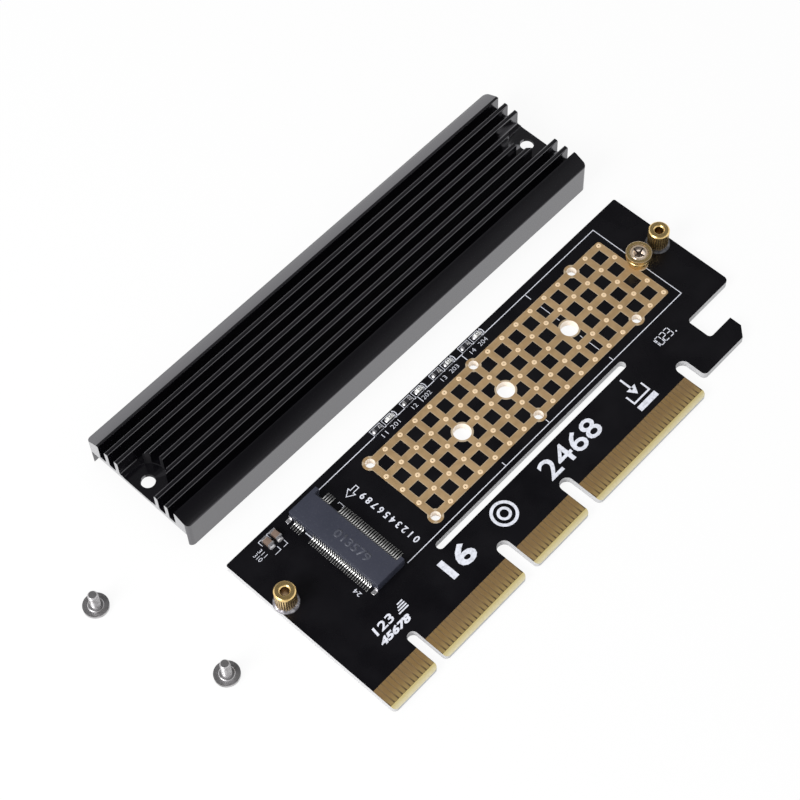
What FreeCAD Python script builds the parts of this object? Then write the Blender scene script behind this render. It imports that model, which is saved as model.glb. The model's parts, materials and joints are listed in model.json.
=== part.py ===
import FreeCAD, Part
import math
import os
import Sketcher

# An adapter card that carries one M.2 drive in a x16 edge slot, with its finned
# cover lying beside it and the cover's two screws standing on their heads.
# +X runs along the card from the drive socket to the retention hook, +Y points
# away from the edge contacts and +Z up. The origin lies on the card's underside,
# on the drive's centre line, midway between the two cover standoffs.

Vector = FreeCAD.Vector
doc = FreeCAD.newDocument("nvme_adapter_card")
dims = doc.addObject("Spreadsheet::Sheet", "dims")

# Every size in millimetres. Places along the card are counted from its socket end,
# places across it from the drive's centre line, heights from the surface below.
sizes = [
    ("boardLength", 106.45, "socket end to hook end"),
    ("boardThickness", 1.6, "laminate with its mask"),
    ("rearEdge", 12.9, "drive line to the long plain edge"),
    ("fingerEdge", 27.9, "drive line to the tips of the edge contacts"),
    ("maskEdge", 22.75, "drive line to the end of the solder mask"),
    ("copper", 0.05, "thickness of the bare gilt copper"),
    ("boardCorner", 0.4, "radius of the plain corners"),
    ("endCorner", 1.0, "radius of the corner above the hook"),
    ("tongueCorner", 0.9, "radius at the tips of the tongues"),
    ("bevelRun", 1.0, "length of the lead-in bevel"),
    ("bevelDepth", 0.4, "depth of the lead-in bevel on each face"),
    ("contactStart", 0.55, "socket end to the first edge contact"),
    ("contactPitch", 1.0, "edge contact to edge contact"),
    ("contactWidth", 0.7, "one edge contact"),
    ("contactLength", 4.05, "mask to the foot of an edge contact"),
    ("notchTop", 19.85, "drive line to the tops of the notches"),
    ("keyWidth", 2.1, "keying notch"),
    ("notchWidth", 2.8, "other notches"),
    ("hookEdge", 25.3, "drive line to the lower edge of the hook"),
    ("hookTip", 6.5, "hook tip to the end of the card"),
    ("hookBevel", 1.9, "slanted corner of the hook"),
    ("hookGapDepth", 12.45, "end of the card to the inner wall of the gap"),
    ("hookGapTop", 15.35, "drive line to the upper wall of the gap"),
    ("hookGapHeight", 5.5, "gap above the hook"),
    ("hookGapCorner", 0.8, "inner corners of the gap"),
    ("slotStart", 27.55, "socket end to the long slot"),
    ("slotLength", 51.55, "long slot"),
    ("slotWidth", 1.65, "long slot"),
    ("slotLine", 12.475, "drive line to the middle of the long slot"),
    ("cardStop", 18.05, "socket end to where the drive's edge stops"),
    ("drive30", 30.0, "length of the shortest drive"),
    ("drive42", 42.0, "length of the second drive"),
    ("drive60", 60.0, "length of the third drive"),
    ("drive80", 80.0, "length of the longest drive"),
    ("mountHole", 3.5, "plated hole for the drive standoff"),
    ("mountRing", 4.2, "gilt ring round that hole"),
    ("gridStart", 32.05, "socket end to the first grid line"),
    ("gridPitch", 4.0, "grid line to grid line"),
    ("gridColumns", 17, "grid lines across the card"),
    ("gridRows", 5, "grid lines along the card"),
    ("gridTrace", 1.5, "width of a grid line"),
    ("gridCorner", 0.6, "outer corners of the grid"),
    ("ventHole", 1.9, "plated hole at the grid's edge"),
    ("ventRing", 3.0, "gilt ring round that hole"),
    ("socketStart", 14.35, "socket end of the card to the back of the socket"),
    ("socketOffset", 0.3, "drive line to the middle of the socket"),
    ("socketWidth", 21.65, "across the card"),
    ("socketDepth", 6.9, "back to the front of the ears"),
    ("socketHeight", 2.4, "above the board"),
    ("coverDepth", 5.7, "back to the front of the top wall"),
    ("coverThickness", 0.65, "top wall of the socket"),
    ("lipHeight", 0.75, "floor of the socket's mouth"),
    ("lipDepth", 6.45, "back to the front of the floor"),
    ("earWidth", 0.85, "end wall of the socket"),
    ("keyRib", 1.0, "rib that keys the drive"),
    ("keyLine", 6.125, "middle of the socket to the rib"),
    ("pinPitch", 0.5, "contact to contact in one row"),
    ("pinWidth", 0.2, "one socket contact"),
    ("pinSlot", 0.3, "groove that holds a contact"),
    ("pinThickness", 0.15, "sheet of a contact"),
    ("rearPinFirst", 9.25, "middle of the socket to the first rear contact"),
    ("frontPinFirst", 9.0, "middle of the socket to the first front contact"),
    ("rearFoot", 1.0, "foot of a rear contact behind the socket"),
    ("rearRise", 1.3, "height of a rear contact"),
    ("frontFoot", 1.85, "foot of a front contact before the lip"),
    ("frontRise", 0.85, "bend of a front contact above the board"),
    ("frontReach", 2.2, "beam of a front contact behind its bend"),
    ("tabLength", 1.1, "foot of a hold-down tab"),
    ("tabWidth", 0.8, "hold-down tab"),
    ("tabHeight", 0.9, "hold-down tab up the back wall"),
    ("tabInset", 0.35, "end of the socket to the middle of a tab"),
    ("standoffSpacing", 101.8, "cover standoff to cover standoff"),
    ("standoffInset", 2.15, "socket end of the card to the first of them"),
    ("standoffDiameter", 4.05, "over the knurl"),
    ("standoffHeight", 4.6, "above the board"),
    ("standoffShank", 3.0, "in the board"),
    ("standoffBore", 1.65, "threaded hole"),
    ("standoffChamfer", 0.25, "top edge"),
    ("knurlCount", 28, "teeth round a standoff"),
    ("knurlDepth", 0.16, "tooth height"),
    ("knurlLand", 0.55, "plain rim above the knurl"),
    ("solderDiameter", 5.1, "solder at the foot of a standoff"),
    ("solderHeight", 0.5, "how far the solder climbs"),
    ("postHeight", 3.45, "drive standoff above the board"),
    ("postCollar", 5.0, "top collar of the drive standoff"),
    ("postWaist", 3.9, "groove under the top collar"),
    ("postBody", 4.6, "lower collar"),
    ("postNeck", 3.7, "neck on the board"),
    ("postRecess", 3.6, "recess for the screw head"),
    ("postRecessDepth", 0.75, "recess for the screw head"),
    ("driveScrewHead", 3.4, "head of the drive screw"),
    ("driveScrewHeadHeight", 0.7, "head of the drive screw"),
    ("driveScrewLength", 2.2, "shank of the drive screw"),
    ("coverScrewHead", 4.8, "head of a cover screw"),
    ("coverScrewHeadHeight", 0.8, "head of a cover screw"),
    ("coverScrewLength", 4.0, "shank of a cover screw"),
    ("screwShank", 1.95, "both kinds of screw"),
    ("crossSpan", 2.4, "cross recess"),
    ("crossWidth", 0.55, "cross recess"),
    ("crossDepth", 0.45, "cross recess"),
    ("coverMargin", 2.5, "cover screw hole to the end of the cover"),
    ("coverWidth", 26.5, "cover across its legs"),
    ("coverCorner", 1.0, "corners of the cover in plan"),
    ("legHeight", 3.9, "cover's legs below its base"),
    ("legThickness", 0.75, "one leg"),
    ("baseThickness", 1.0, "base of the cover"),
    ("finCount", 7, "fins"),
    ("finPitch", 2.6, "fin to fin"),
    ("finThickness", 0.95, "one fin"),
    ("finHeight", 3.5, "above the base"),
    ("finTip", 0.3, "rounding of a fin's top edges"),
    ("finRoot", 0.2, "slant at the foot of a fin"),
    ("wallInner", 9.85, "middle of the cover to the inside of a side wall"),
    ("wallCrest", 0.5, "flat top of a side wall"),
    ("crestHeight", 3.6, "side wall above the base"),
    ("wallShoulder", 2.2, "outer edge of a side wall above the base"),
    ("coverHole", 2.75, "screw hole"),
    ("pocketRadius", 3.7, "milled clearing round a screw hole"),
    ("pocketDepth", 0.2, "how far the clearing is milled into the base"),
    ("coverX", -0.5, "middle of the cover from the origin"),
    ("coverY", 33.3, "middle of the cover from the origin"),
    ("coverYaw", -0.62, "turn of the cover in degrees"),
    ("screwOneX", -73.5, "first loose screw"),
    ("screwOneY", 24.8, "first loose screw"),
    ("screwTwoX", -67.2, "second loose screw"),
    ("screwTwoY", -1.5, "second loose screw"),
    ("chipLine", 11.9, "drive line to the row of small parts"),
    ("resistorStart", 38.05, "socket end to the first resistor"),
    ("ledStart", 41.35, "socket end to the first lamp"),
    ("chipPitch", 8.0, "resistor to resistor"),
    ("chipLength", 1.6, "resistor or lamp"),
    ("chipWidth", 0.8, "resistor or lamp"),
    ("resistorHeight", 0.45, "resistor"),
    ("ledBase", 0.25, "carrier of a lamp"),
    ("ledHeight", 0.6, "whole lamp"),
    ("chipTerminal", 0.35, "soldered end of a small part"),
    ("capacitorStart", 8.15, "socket end to the first capacitor"),
    ("capacitorPitch", 2.0, "capacitor to capacitor"),
    ("capacitorLine", 10.45, "drive line to the capacitors"),
    ("capacitorLength", 2.0, "along Y"),
    ("capacitorWidth", 1.25, "along X"),
    ("capacitorHeight", 1.0, "above the board"),
]

# Runs of edge contacts and of socket contacts: place of the first in its row, count.
contactGroups = [(0, 11), (13, 21), (37, 14), (54, 30)]
rearPinGroups = [(0, 29), (33, 5)]
frontPinGroups = [(0, 29), (33, 4)]
ventHoles = [(column, row) for column in (0, 7, 14) for row in (0, 4)]
driveLengths = ["dims.drive30", "dims.drive42", "dims.drive60", "dims.drive80"]
chipPairs = 4
capacitorCount = 2

socketEnd = "(-dims.standoffSpacing / 2 - dims.standoffInset)"
hookEnd = "dims.boardLength"
boardTop = "dims.boardThickness"
past = "1"


def fillSheet():
    for row, (name, value, meaning) in enumerate(sizes, start=1):
        dims.set(f"A{row}", str(value))
        dims.setAlias(f"A{row}", name)
        dims.set(f"B{row}", meaning)
    doc.recompute()


def size(formula):
    return float(dims.evalExpression(formula))


# A body that can hold several loose solids, and its place in the model.

def newBody(label, x="0", y="0", z="0"):
    body = doc.addObject("PartDesign::Body", label)
    body.Label = label
    body.AllowCompound = True
    for axis, formula in zip("xyz", (x, y, z)):
        body.setExpression(f"Placement.Base.{axis}", formula)
    return body


def originPart(body, role):
    return next(part for part in body.Origin.OriginFeatures if part.Role == role)


def newSketch(body, name, plane="XY_Plane", lift="0"):
    sketch = body.newObject("Sketcher::SketchObject", name)
    sketch.AttachmentSupport = [(originPart(body, plane), "")]
    sketch.MapMode = "FlatFace"
    sketch.setExpression("AttachmentOffset.Base.z", lift)
    return sketch


# Sketch geometry, every point and radius bound to a formula of the sheet.

def bind(sketch, formula, *constraint):
    index = sketch.addConstraint(Sketcher.Constraint(*constraint, size(formula)))
    sketch.setExpression(f"Constraints[{index}]", formula)


def bindPoint(sketch, geometry, end, x, y):
    bind(sketch, x, "DistanceX", -1, 1, geometry, end)
    bind(sketch, y, "DistanceY", -1, 1, geometry, end)


def addLine(sketch, start, end):
    points = [Vector(size(x), size(y), 0) for x, y in (start, end)]
    line = sketch.addGeometry(Part.LineSegment(*points), False)
    bindPoint(sketch, line, 1, *start)
    bindPoint(sketch, line, 2, *end)


# An arc from start through middle to end, round the given centre.
def addArc(sketch, start, middle, end, centre):
    first, bulge, last, pivot = [Vector(size(x), size(y), 0) for x, y in (start, middle, end, centre)]
    if (first - pivot).cross(bulge - pivot).z < 0:
        start, end, first, last = end, start, last, first
    angles = [math.atan2((spot - pivot).y, (spot - pivot).x) for spot in (first, last)]
    circle = Part.Circle(pivot, Vector(0, 0, 1), (first - pivot).Length)
    arc = sketch.addGeometry(Part.ArcOfCircle(circle, *angles), False)
    bindPoint(sketch, arc, 1, *start)
    bindPoint(sketch, arc, 2, *end)
    if abs(first.x - last.x) < abs(first.y - last.y):
        bind(sketch, centre[0], "DistanceX", -1, 1, arc, 3)
    else:
        bind(sketch, centre[1], "DistanceY", -1, 1, arc, 3)


# A closed outline. A corner is (x, y), or (x, y, radius) where it is square and rounded.
def addOutline(sketch, corners):
    count = len(corners)
    spots = [(size(corner[0]), size(corner[1])) for corner in corners]
    ends = []
    for i, corner in enumerate(corners):
        x, y = corner[:2]
        if len(corner) == 2:
            ends.append((corner, corner))
            continue
        sides = []
        for other in (spots[i - 1], spots[(i + 1) % count]):
            step = [other[0] - spots[i][0], other[1] - spots[i][1]]
            sides.append([0 if abs(part) < 1e-9 else (1 if part > 0 else -1) for part in step])
        radius = corner[2]
        before, after = [(f"{x} + {dx} * ({radius})", f"{y} + {dy} * ({radius})") for dx, dy in sides]
        dx, dy = sides[0][0] + sides[1][0], sides[0][1] + sides[1][1]
        centre = (f"{x} + {dx} * ({radius})", f"{y} + {dy} * ({radius})")
        bulge = "(1 - 1 / sqrt(2))"
        middle = (f"{x} + {dx} * ({radius}) * {bulge}", f"{y} + {dy} * ({radius}) * {bulge}")
        addArc(sketch, before, middle, after, centre)
        ends.append((before, after))
    for i in range(count):
        addLine(sketch, ends[i][1], ends[(i + 1) % count][0])


def addRectangle(sketch, left, right, low, high, radius=None):
    corners = [(left, low), (right, low), (right, high), (left, high)]
    addOutline(sketch, [corner + (radius,) for corner in corners] if radius else corners)


def addCircle(sketch, x, y, diameter):
    circle = Part.Circle(Vector(size(x), size(y), 0), Vector(0, 0, 1), size(diameter) / 2)
    index = sketch.addGeometry(circle, False)
    bindPoint(sketch, index, 3, x, y)
    bind(sketch, diameter, "Diameter", index)


# A slot with round ends, lying along X or standing along Y.
def addSlot(sketch, start, end, width):
    (ax, ay), (bx, by) = start, end
    half = f"({width}) / 2"
    if ay == by:
        addLine(sketch, (ax, f"{ay} + {half}"), (bx, f"{by} + {half}"))
        addLine(sketch, (ax, f"{ay} - {half}"), (bx, f"{by} - {half}"))
        for x, side in ((ax, "-"), (bx, "+")):
            tip = (f"{x} {side} {half}", ay)
            addArc(sketch, (x, f"{ay} + {half}"), tip, (x, f"{ay} - {half}"), (x, ay))
    else:
        addLine(sketch, (f"{ax} + {half}", ay), (f"{bx} + {half}", by))
        addLine(sketch, (f"{ax} - {half}", ay), (f"{bx} - {half}", by))
        for y, side in ((ay, "-"), (by, "+")):
            tip = (ax, f"{y} {side} {half}")
            addArc(sketch, (f"{ax} + {half}", y), tip, (f"{ax} - {half}", y), (ax, y))


# Features. A cut that removes nothing is an error.

def addPad(body, sketch, length, symmetric=False):
    feature = body.newObject("PartDesign::Pad", f"{sketch.Name}Pad")
    feature.Profile = sketch
    feature.setExpression("Length", length)
    if symmetric:
        feature.SideType = "Symmetric"
    doc.recompute()
    return feature


def addPocket(body, sketch, length, up=False, symmetric=False):
    before = body.Shape.Volume
    feature = body.newObject("PartDesign::Pocket", f"{sketch.Name}Pocket")
    feature.Profile = sketch
    feature.setExpression("Length", length)
    feature.Reversed = up
    if symmetric:
        feature.SideType = "Symmetric"
    doc.recompute()
    if body.Shape.Volume > before - 1e-9:
        raise ValueError(f"{sketch.Name} cuts nothing from {body.Label}")
    return feature


def addRevolution(body, sketch):
    feature = body.newObject("PartDesign::Revolution", f"{sketch.Name}Turn")
    feature.Profile = sketch
    feature.ReferenceAxis = (sketch, ["V_Axis"])
    feature.Angle = 360
    doc.recompute()


def repeatAlong(body, feature, axis, pitch, count):
    pattern = body.newObject("PartDesign::LinearPattern", f"{feature.Name}Row")
    pattern.Originals = [feature]
    pattern.Direction = (originPart(body, axis), [""])
    pattern.Mode = "Spacing"
    pattern.setExpression("Offset", pitch)
    pattern.setExpression("Occurrences", count)
    body.Tip = pattern
    doc.recompute()
    return pattern


def repeatRound(body, feature, count):
    pattern = body.newObject("PartDesign::PolarPattern", f"{feature.Name}Ring")
    pattern.Originals = [feature]
    pattern.Axis = (originPart(body, "Z_Axis"), [""])
    pattern.Angle = 360
    pattern.setExpression("Occurrences", count)
    body.Tip = pattern
    doc.recompute()
    return pattern


def mirrorAcross(body, plane, features):
    mirrored = body.newObject("PartDesign::Mirrored", f"{features[-1].Name}Mirror")
    mirrored.Originals = features
    mirrored.MirrorPlane = (originPart(body, plane), [""])
    body.Tip = mirrored
    doc.recompute()
    return mirrored


# Rounds the upright edges that stand at the given places.
def roundUprights(body, places, radius, name):
    spots = [Vector(size(x), size(y), 0) for x, y in places]
    base = body.Tip
    chosen = []
    for index, edge in enumerate(base.Shape.Edges, start=1):
        start, end = edge.Vertexes[0].Point, edge.Vertexes[-1].Point
        foot = Vector(start.x, start.y, 0)
        upright = abs(start.x - end.x) + abs(start.y - end.y) < 1e-6 and abs(start.z - end.z) > 1e-6
        if upright and any(foot.distanceToPoint(spot) < 1e-4 for spot in spots):
            chosen.append(f"Edge{index}")
    fillet = body.newObject("PartDesign::Fillet", name)
    fillet.Base = (base, chosen)
    fillet.setExpression("Radius", radius)
    doc.recompute()
    return fillet


def contactPlace(index):
    return f"(dims.contactStart + {index} * dims.contactPitch)"


def ventPlace(column, row):
    return f"(dims.gridStart + {column} * dims.gridPitch)", f"(({row} - (dims.gridRows - 1) / 2) * dims.gridPitch)"


def mountPlace(length):
    return f"(dims.cardStop + {length})", "0"


def ringedHoles():
    vents = [(ventPlace(column, row), "dims.ventHole", "dims.ventRing") for column, row in ventHoles]
    mounts = [(mountPlace(length), "dims.mountHole", "dims.mountRing") for length in driveLengths]
    return vents + mounts


# The notch after each run of edge contacts, midway to the contact that would come next.
def notchPlaces():
    places = []
    for index, (first, count) in enumerate(contactGroups):
        width = "dims.keyWidth" if index == 0 else "dims.notchWidth"
        following = contactGroups[index + 1][0] if index + 1 < len(contactGroups) else first + count + 3
        middle = (first + count - 1 + following) / 2
        places.append((contactPlace(middle), width))
    return places


def circuitBoard():
    body = newBody("circuit_board", socketEnd)
    step = notchPlaces()[-1][0]
    hookTip = f"{hookEnd} - dims.hookTip"
    gapWall = f"{hookEnd} - dims.hookGapDepth"
    gapTop = "-dims.hookGapTop"
    gapLow = "(-dims.hookGapTop - dims.hookGapHeight)"
    outline = newSketch(body, "boardOutline")
    addOutline(outline, [
        ("0", "dims.rearEdge", "dims.boardCorner"),
        ("0", "-dims.fingerEdge", "dims.tongueCorner"),
        (step, "-dims.fingerEdge"),
        (step, "-dims.hookEdge"),
        (f"{hookTip} - dims.hookBevel", "-dims.hookEdge"),
        (hookTip, "-dims.hookEdge + dims.hookBevel"),
        (hookTip, gapLow),
        (gapWall, gapLow, "dims.hookGapCorner"),
        (gapWall, gapTop, "dims.hookGapCorner"),
        (hookEnd, gapTop, "dims.endCorner"),
        (hookEnd, "dims.rearEdge", "dims.boardCorner"),
    ])
    addPad(body, outline, "dims.boardThickness")

    notches = newSketch(body, "boardNotches")
    for middle, width in notchPlaces():
        top = f"-dims.notchTop - {width} / 2"
        addSlot(notches, (middle, f"-dims.fingerEdge - {past}"), (middle, top), width)
    addPocket(body, notches, "dims.boardThickness", up=True)

    tips = []
    for middle, width in notchPlaces():
        for side in ("-", "+"):
            tips.append((f"{middle} {side} {width} / 2", "-dims.fingerEdge"))
    middle, width = notchPlaces()[-1]
    tips[-1] = (f"{middle} + {width} / 2", "-dims.hookEdge")
    roundUprights(body, tips, "dims.tongueCorner", "tongueTips")

    slot = newSketch(body, "boardSlot")
    start = "dims.slotStart + dims.slotWidth / 2"
    end = "dims.slotStart + dims.slotLength - dims.slotWidth / 2"
    addSlot(slot, (start, "-dims.slotLine"), (end, "-dims.slotLine"), "dims.slotWidth")
    addPocket(body, slot, "dims.boardThickness", up=True)

    holes = newSketch(body, "boardHoles")
    for (x, y), hole, ring in ringedHoles():
        addCircle(holes, x, y, hole)
    for x in ("dims.standoffInset", "dims.standoffInset + dims.standoffSpacing"):
        addCircle(holes, x, "0", "dims.standoffShank")
    addPocket(body, holes, "dims.boardThickness", up=True)

    for name, lift, up in (("lowerTongues", "0", True), ("upperTongues", boardTop, False)):
        bare = newSketch(body, name, lift=lift)
        addRectangle(bare, f"-{past}", step, f"-dims.fingerEdge - {past}", "-dims.maskEdge")
        addPocket(body, bare, "dims.copper", up=up)

    root = "-dims.fingerEdge + dims.bevelRun"
    for name, face, edge, side in (
        ("lowerBevel", "0", "dims.bevelDepth", "-"),
        ("upperBevel", boardTop, "dims.boardThickness - dims.bevelDepth", "+"),
    ):
        bevel = newSketch(body, name, "YZ_Plane")
        addOutline(bevel, [
            ("-dims.fingerEdge", edge),
            (root, face),
            (root, f"{face} {side} {past}"),
            (f"-dims.fingerEdge - {past}", f"{face} {side} {past}"),
            (f"-dims.fingerEdge - {past}", edge),
        ])
        addPocket(body, bevel, "4 * dims.boardLength", symmetric=True)
    return body


# The gilt grid under the drive, one piece with the rings round its holes.
def thermalGrid():
    body = newBody("thermal_grid", socketEnd, z=boardTop)
    left = "dims.gridStart - dims.gridTrace / 2"
    right = "dims.gridStart + (dims.gridColumns - 1) * dims.gridPitch + dims.gridTrace / 2"
    half = "((dims.gridRows - 1) * dims.gridPitch / 2 + dims.gridTrace / 2)"
    plate = newSketch(body, "gridPlate")
    addRectangle(plate, left, right, f"-{half}", half, "dims.gridCorner")
    addPad(body, plate, "dims.copper")

    window = newSketch(body, "gridWindows")
    for row in range(int(size("dims.gridRows")) - 1):
        low = f"({row} - (dims.gridRows - 1) / 2) * dims.gridPitch + dims.gridTrace / 2"
        start = "dims.gridStart + dims.gridTrace / 2"
        span = "dims.gridPitch - dims.gridTrace"
        addRectangle(window, start, f"{start} + {span}", low, f"{low} + {span}")
    cut = addPocket(body, window, "dims.copper", up=True)
    repeatAlong(body, cut, "X_Axis", "dims.gridPitch", "dims.gridColumns - 1")

    rings = newSketch(body, "gridRings")
    bores = newSketch(body, "gridBores")
    for (x, y), hole, ring in ringedHoles():
        addCircle(rings, x, y, ring)
        addCircle(bores, x, y, hole)
    addPad(body, rings, "dims.copper")
    addPocket(body, bores, "dims.copper", up=True)
    return body


def edgeContacts(label, lift):
    body = newBody(label, socketEnd)
    for first, count in contactGroups:
        contact = newSketch(body, "contact", lift=lift)
        middle = contactPlace(first)
        left, right = f"{middle} - dims.contactWidth / 2", f"{middle} + dims.contactWidth / 2"
        addRectangle(contact, left, right, "-dims.maskEdge - dims.contactLength", "-dims.maskEdge")
        pad = addPad(body, contact, "dims.copper")
        repeatAlong(body, pad, "X_Axis", "dims.contactPitch", str(count))
    return body


def socketBody(label):
    return newBody(label, f"{socketEnd} + dims.socketStart", "dims.socketOffset", boardTop)


def pinPlace(first, index):
    return f"(-{first} + {index} * dims.pinPitch)"


def socketHousing():
    body = socketBody("m2_socket_housing")
    block = newSketch(body, "socketBlock", "XZ_Plane")
    addRectangle(block, "0", "dims.socketDepth", "0", "dims.socketHeight")
    addPad(body, block, "dims.socketWidth", symmetric=True)

    stop = "dims.cardStop - dims.socketStart"
    under = "dims.socketHeight - dims.coverThickness"
    front = f"dims.socketDepth + {past}"
    mouth = newSketch(body, "socketMouth", "XZ_Plane")
    addOutline(mouth, [
        (stop, "dims.lipHeight"),
        ("dims.lipDepth", "dims.lipHeight"),
        ("dims.lipDepth", f"-{past}"),
        (front, f"-{past}"),
        (front, f"dims.socketHeight + {past}"),
        ("dims.coverDepth", f"dims.socketHeight + {past}"),
        ("dims.coverDepth", under),
        (stop, under),
    ])
    addPocket(body, mouth, "dims.socketWidth - 2 * dims.earWidth", symmetric=True)

    rib = newSketch(body, "socketRib", lift="dims.lipHeight")
    low, high = "dims.keyLine - dims.keyRib / 2", "dims.keyLine + dims.keyRib / 2"
    addRectangle(rib, stop, "dims.coverDepth - dims.pinPitch", low, high)
    addPad(body, rib, f"{under} - dims.lipHeight")

    for index, count in frontPinGroups:
        groove = newSketch(body, "frontGroove")
        middle = pinPlace("dims.frontPinFirst", index)
        low, high = f"{middle} - dims.pinSlot / 2", f"{middle} + dims.pinSlot / 2"
        addRectangle(groove, "dims.lipDepth - dims.frontReach - dims.pinSlot", front, low, high)
        cut = addPocket(body, groove, "dims.lipHeight", up=True)
        repeatAlong(body, cut, "Y_Axis", "dims.pinPitch", str(count))
    return body


def socketContacts(label, first, groups, profile):
    body = socketBody(label)
    for index, count in groups:
        section = newSketch(body, "pinSection", "XZ_Plane", f"-{pinPlace(first, index)}")
        addOutline(section, profile)
        pin = addPad(body, section, "dims.pinWidth", symmetric=True)
        repeatAlong(body, pin, "Y_Axis", "dims.pinPitch", str(count))
    return body


def rearContacts():
    sheet = "dims.pinThickness"
    return socketContacts("socket_contacts_rear", "dims.rearPinFirst", rearPinGroups, [
        ("-dims.rearFoot", "0"),
        ("0", "0"),
        ("0", "dims.rearRise"),
        (f"-{sheet}", "dims.rearRise"),
        (f"-{sheet}", sheet),
        ("-dims.rearFoot", sheet),
    ])


def frontContacts():
    sheet = "dims.pinThickness"
    bend = "dims.lipDepth"
    tip = "dims.lipDepth - dims.frontReach"
    return socketContacts("socket_contacts_front", "dims.frontPinFirst", frontPinGroups, [
        (f"{bend} + dims.frontFoot", "0"),
        (f"{bend} + dims.frontFoot", sheet),
        (f"{bend} + {sheet} * 2", sheet),
        (f"{bend} - {sheet}", "dims.frontRise"),
        (tip, f"dims.frontRise + {sheet}"),
        (tip, "dims.frontRise"),
        (f"{bend} - {sheet} * 2", f"dims.frontRise - {sheet}"),
        (f"{bend} + {sheet}", "0"),
    ])


def holdDown(label, side):
    body = socketBody(label)
    middle = f"{side} * (dims.socketWidth / 2 - dims.tabInset)"
    section = newSketch(body, "tabSection", "XZ_Plane", f"-({middle})")
    addOutline(section, [
        ("-dims.tabLength", "0"),
        ("0", "0"),
        ("0", "dims.tabHeight"),
        ("-dims.pinThickness", "dims.tabHeight"),
        ("-dims.pinThickness", "dims.pinThickness"),
        ("-dims.tabLength", "dims.pinThickness"),
    ])
    addPad(body, section, "dims.tabWidth", symmetric=True)
    return body


# A knurled brass post whose shank passes through the board.
def coverStandoff(label, x):
    body = newBody(label, x)
    radius, shank = "dims.standoffDiameter / 2", "dims.standoffShank / 2"
    top = "dims.boardThickness + dims.standoffHeight"
    section = newSketch(body, "postSection", "XZ_Plane")
    addOutline(section, [
        ("dims.standoffBore / 2 + dims.standoffChamfer", top),
        ("dims.standoffBore / 2", f"{top} - dims.standoffChamfer"),
        ("dims.standoffBore / 2", "0"),
        (shank, "0"),
        (shank, boardTop),
        (radius, boardTop),
        (radius, f"{top} - dims.standoffChamfer"),
        (f"{radius} - dims.standoffChamfer", top),
    ])
    addRevolution(body, section)

    tooth = newSketch(body, "knurlTooth", lift=boardTop)
    half = "pi * dims.standoffDiameter / dims.knurlCount * 0.45"
    outer = f"{radius} + dims.knurlDepth / 2"
    addOutline(tooth, [(f"{radius} - dims.knurlDepth", "0"), (outer, f"-{half}"), (outer, half)])
    cut = addPocket(body, tooth, "dims.standoffHeight - dims.knurlLand", up=True)
    repeatRound(body, cut, "dims.knurlCount")
    return body


# Solder that climbs from the board to the foot of a standoff.
def solderRing(label, x):
    body = newBody(label, x, z=boardTop)
    inner, outer = "dims.standoffDiameter / 2", "dims.solderDiameter / 2"
    section = newSketch(body, "solderSection", "XZ_Plane")
    addOutline(section, [
        (inner, "0"),
        (outer, "0"),
        (f"{inner} + dims.solderHeight / 3", "dims.solderHeight * 0.6"),
        (inner, "dims.solderHeight"),
    ])
    addRevolution(body, section)
    return body


# The turned post that holds the far end of the longest drive.
def driveStandoff():
    x, y = mountPlace("dims.drive80")
    body = newBody("m2_standoff", f"{socketEnd} + {x}", y)
    seat = "dims.boardThickness + dims.copper"
    top = "dims.boardThickness + dims.postHeight"
    step = "dims.postHeight / 6"
    collar, waist, lower, neck = "dims.postCollar / 2", "dims.postWaist / 2", "dims.postBody / 2", "dims.postNeck / 2"
    section = newSketch(body, "driveStandoffSection", "XZ_Plane")
    addOutline(section, [
        ("dims.screwShank / 2", "0"),
        ("dims.mountHole / 2", "0"),
        ("dims.mountHole / 2", seat),
        (neck, seat),
        (neck, f"{top} - 4 * {step}"),
        (lower, f"{top} - 3.5 * {step}"),
        (lower, f"{top} - 2.3 * {step}"),
        (waist, f"{top} - 1.8 * {step}"),
        (collar, f"{top} - 1.4 * {step}"),
        (collar, top),
        ("dims.postRecess / 2", top),
        ("dims.postRecess / 2", f"{top} - dims.postRecessDepth"),
        ("dims.screwShank / 2", f"{top} - dims.postRecessDepth"),
    ])
    addRevolution(body, section)
    return body


# A screw that stands on its head: head at z = 0, shank up, cross recess below.
def screw(label, head, headHeight, length, x, y, z="0"):
    body = newBody(label, x, y, z)
    edge, shank = f"{headHeight} / 5", "dims.screwShank / 2"
    end = f"{headHeight} + {length}"
    section = newSketch(body, "screwSection", "XZ_Plane")
    addOutline(section, [
        ("0", "0"),
        (f"{head} / 2 - {edge}", "0"),
        (f"{head} / 2", edge),
        (f"{head} / 2", headHeight),
        (shank, headHeight),
        (shank, f"{end} - {shank} / 4"),
        (f"{shank} * 0.75", end),
        ("0", end),
    ])
    addRevolution(body, section)
    span, width = "dims.crossSpan / 2", "dims.crossWidth / 2"
    cross = newSketch(body, "screwCross")
    quarter = [(span, f"-{width}"), (span, width), (width, width)]
    corners = []
    for turn in range(4):
        corners += quarter
        quarter = [(f"-({y})", x) for x, y in quarter]
    addOutline(cross, corners)
    addPocket(body, cross, "dims.crossDepth", up=True)
    return body


def driveScrew():
    x, y = mountPlace("dims.drive80")
    seat = "dims.boardThickness + dims.postHeight - dims.postRecessDepth + dims.driveScrewHeadHeight"
    body = screw("m2_screw", "dims.driveScrewHead", "dims.driveScrewHeadHeight", "dims.driveScrewLength",
                 f"{socketEnd} + {x}", y, seat)
    body.Placement.Rotation = FreeCAD.Rotation(Vector(1, 0, 0), 180)
    return body


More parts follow.
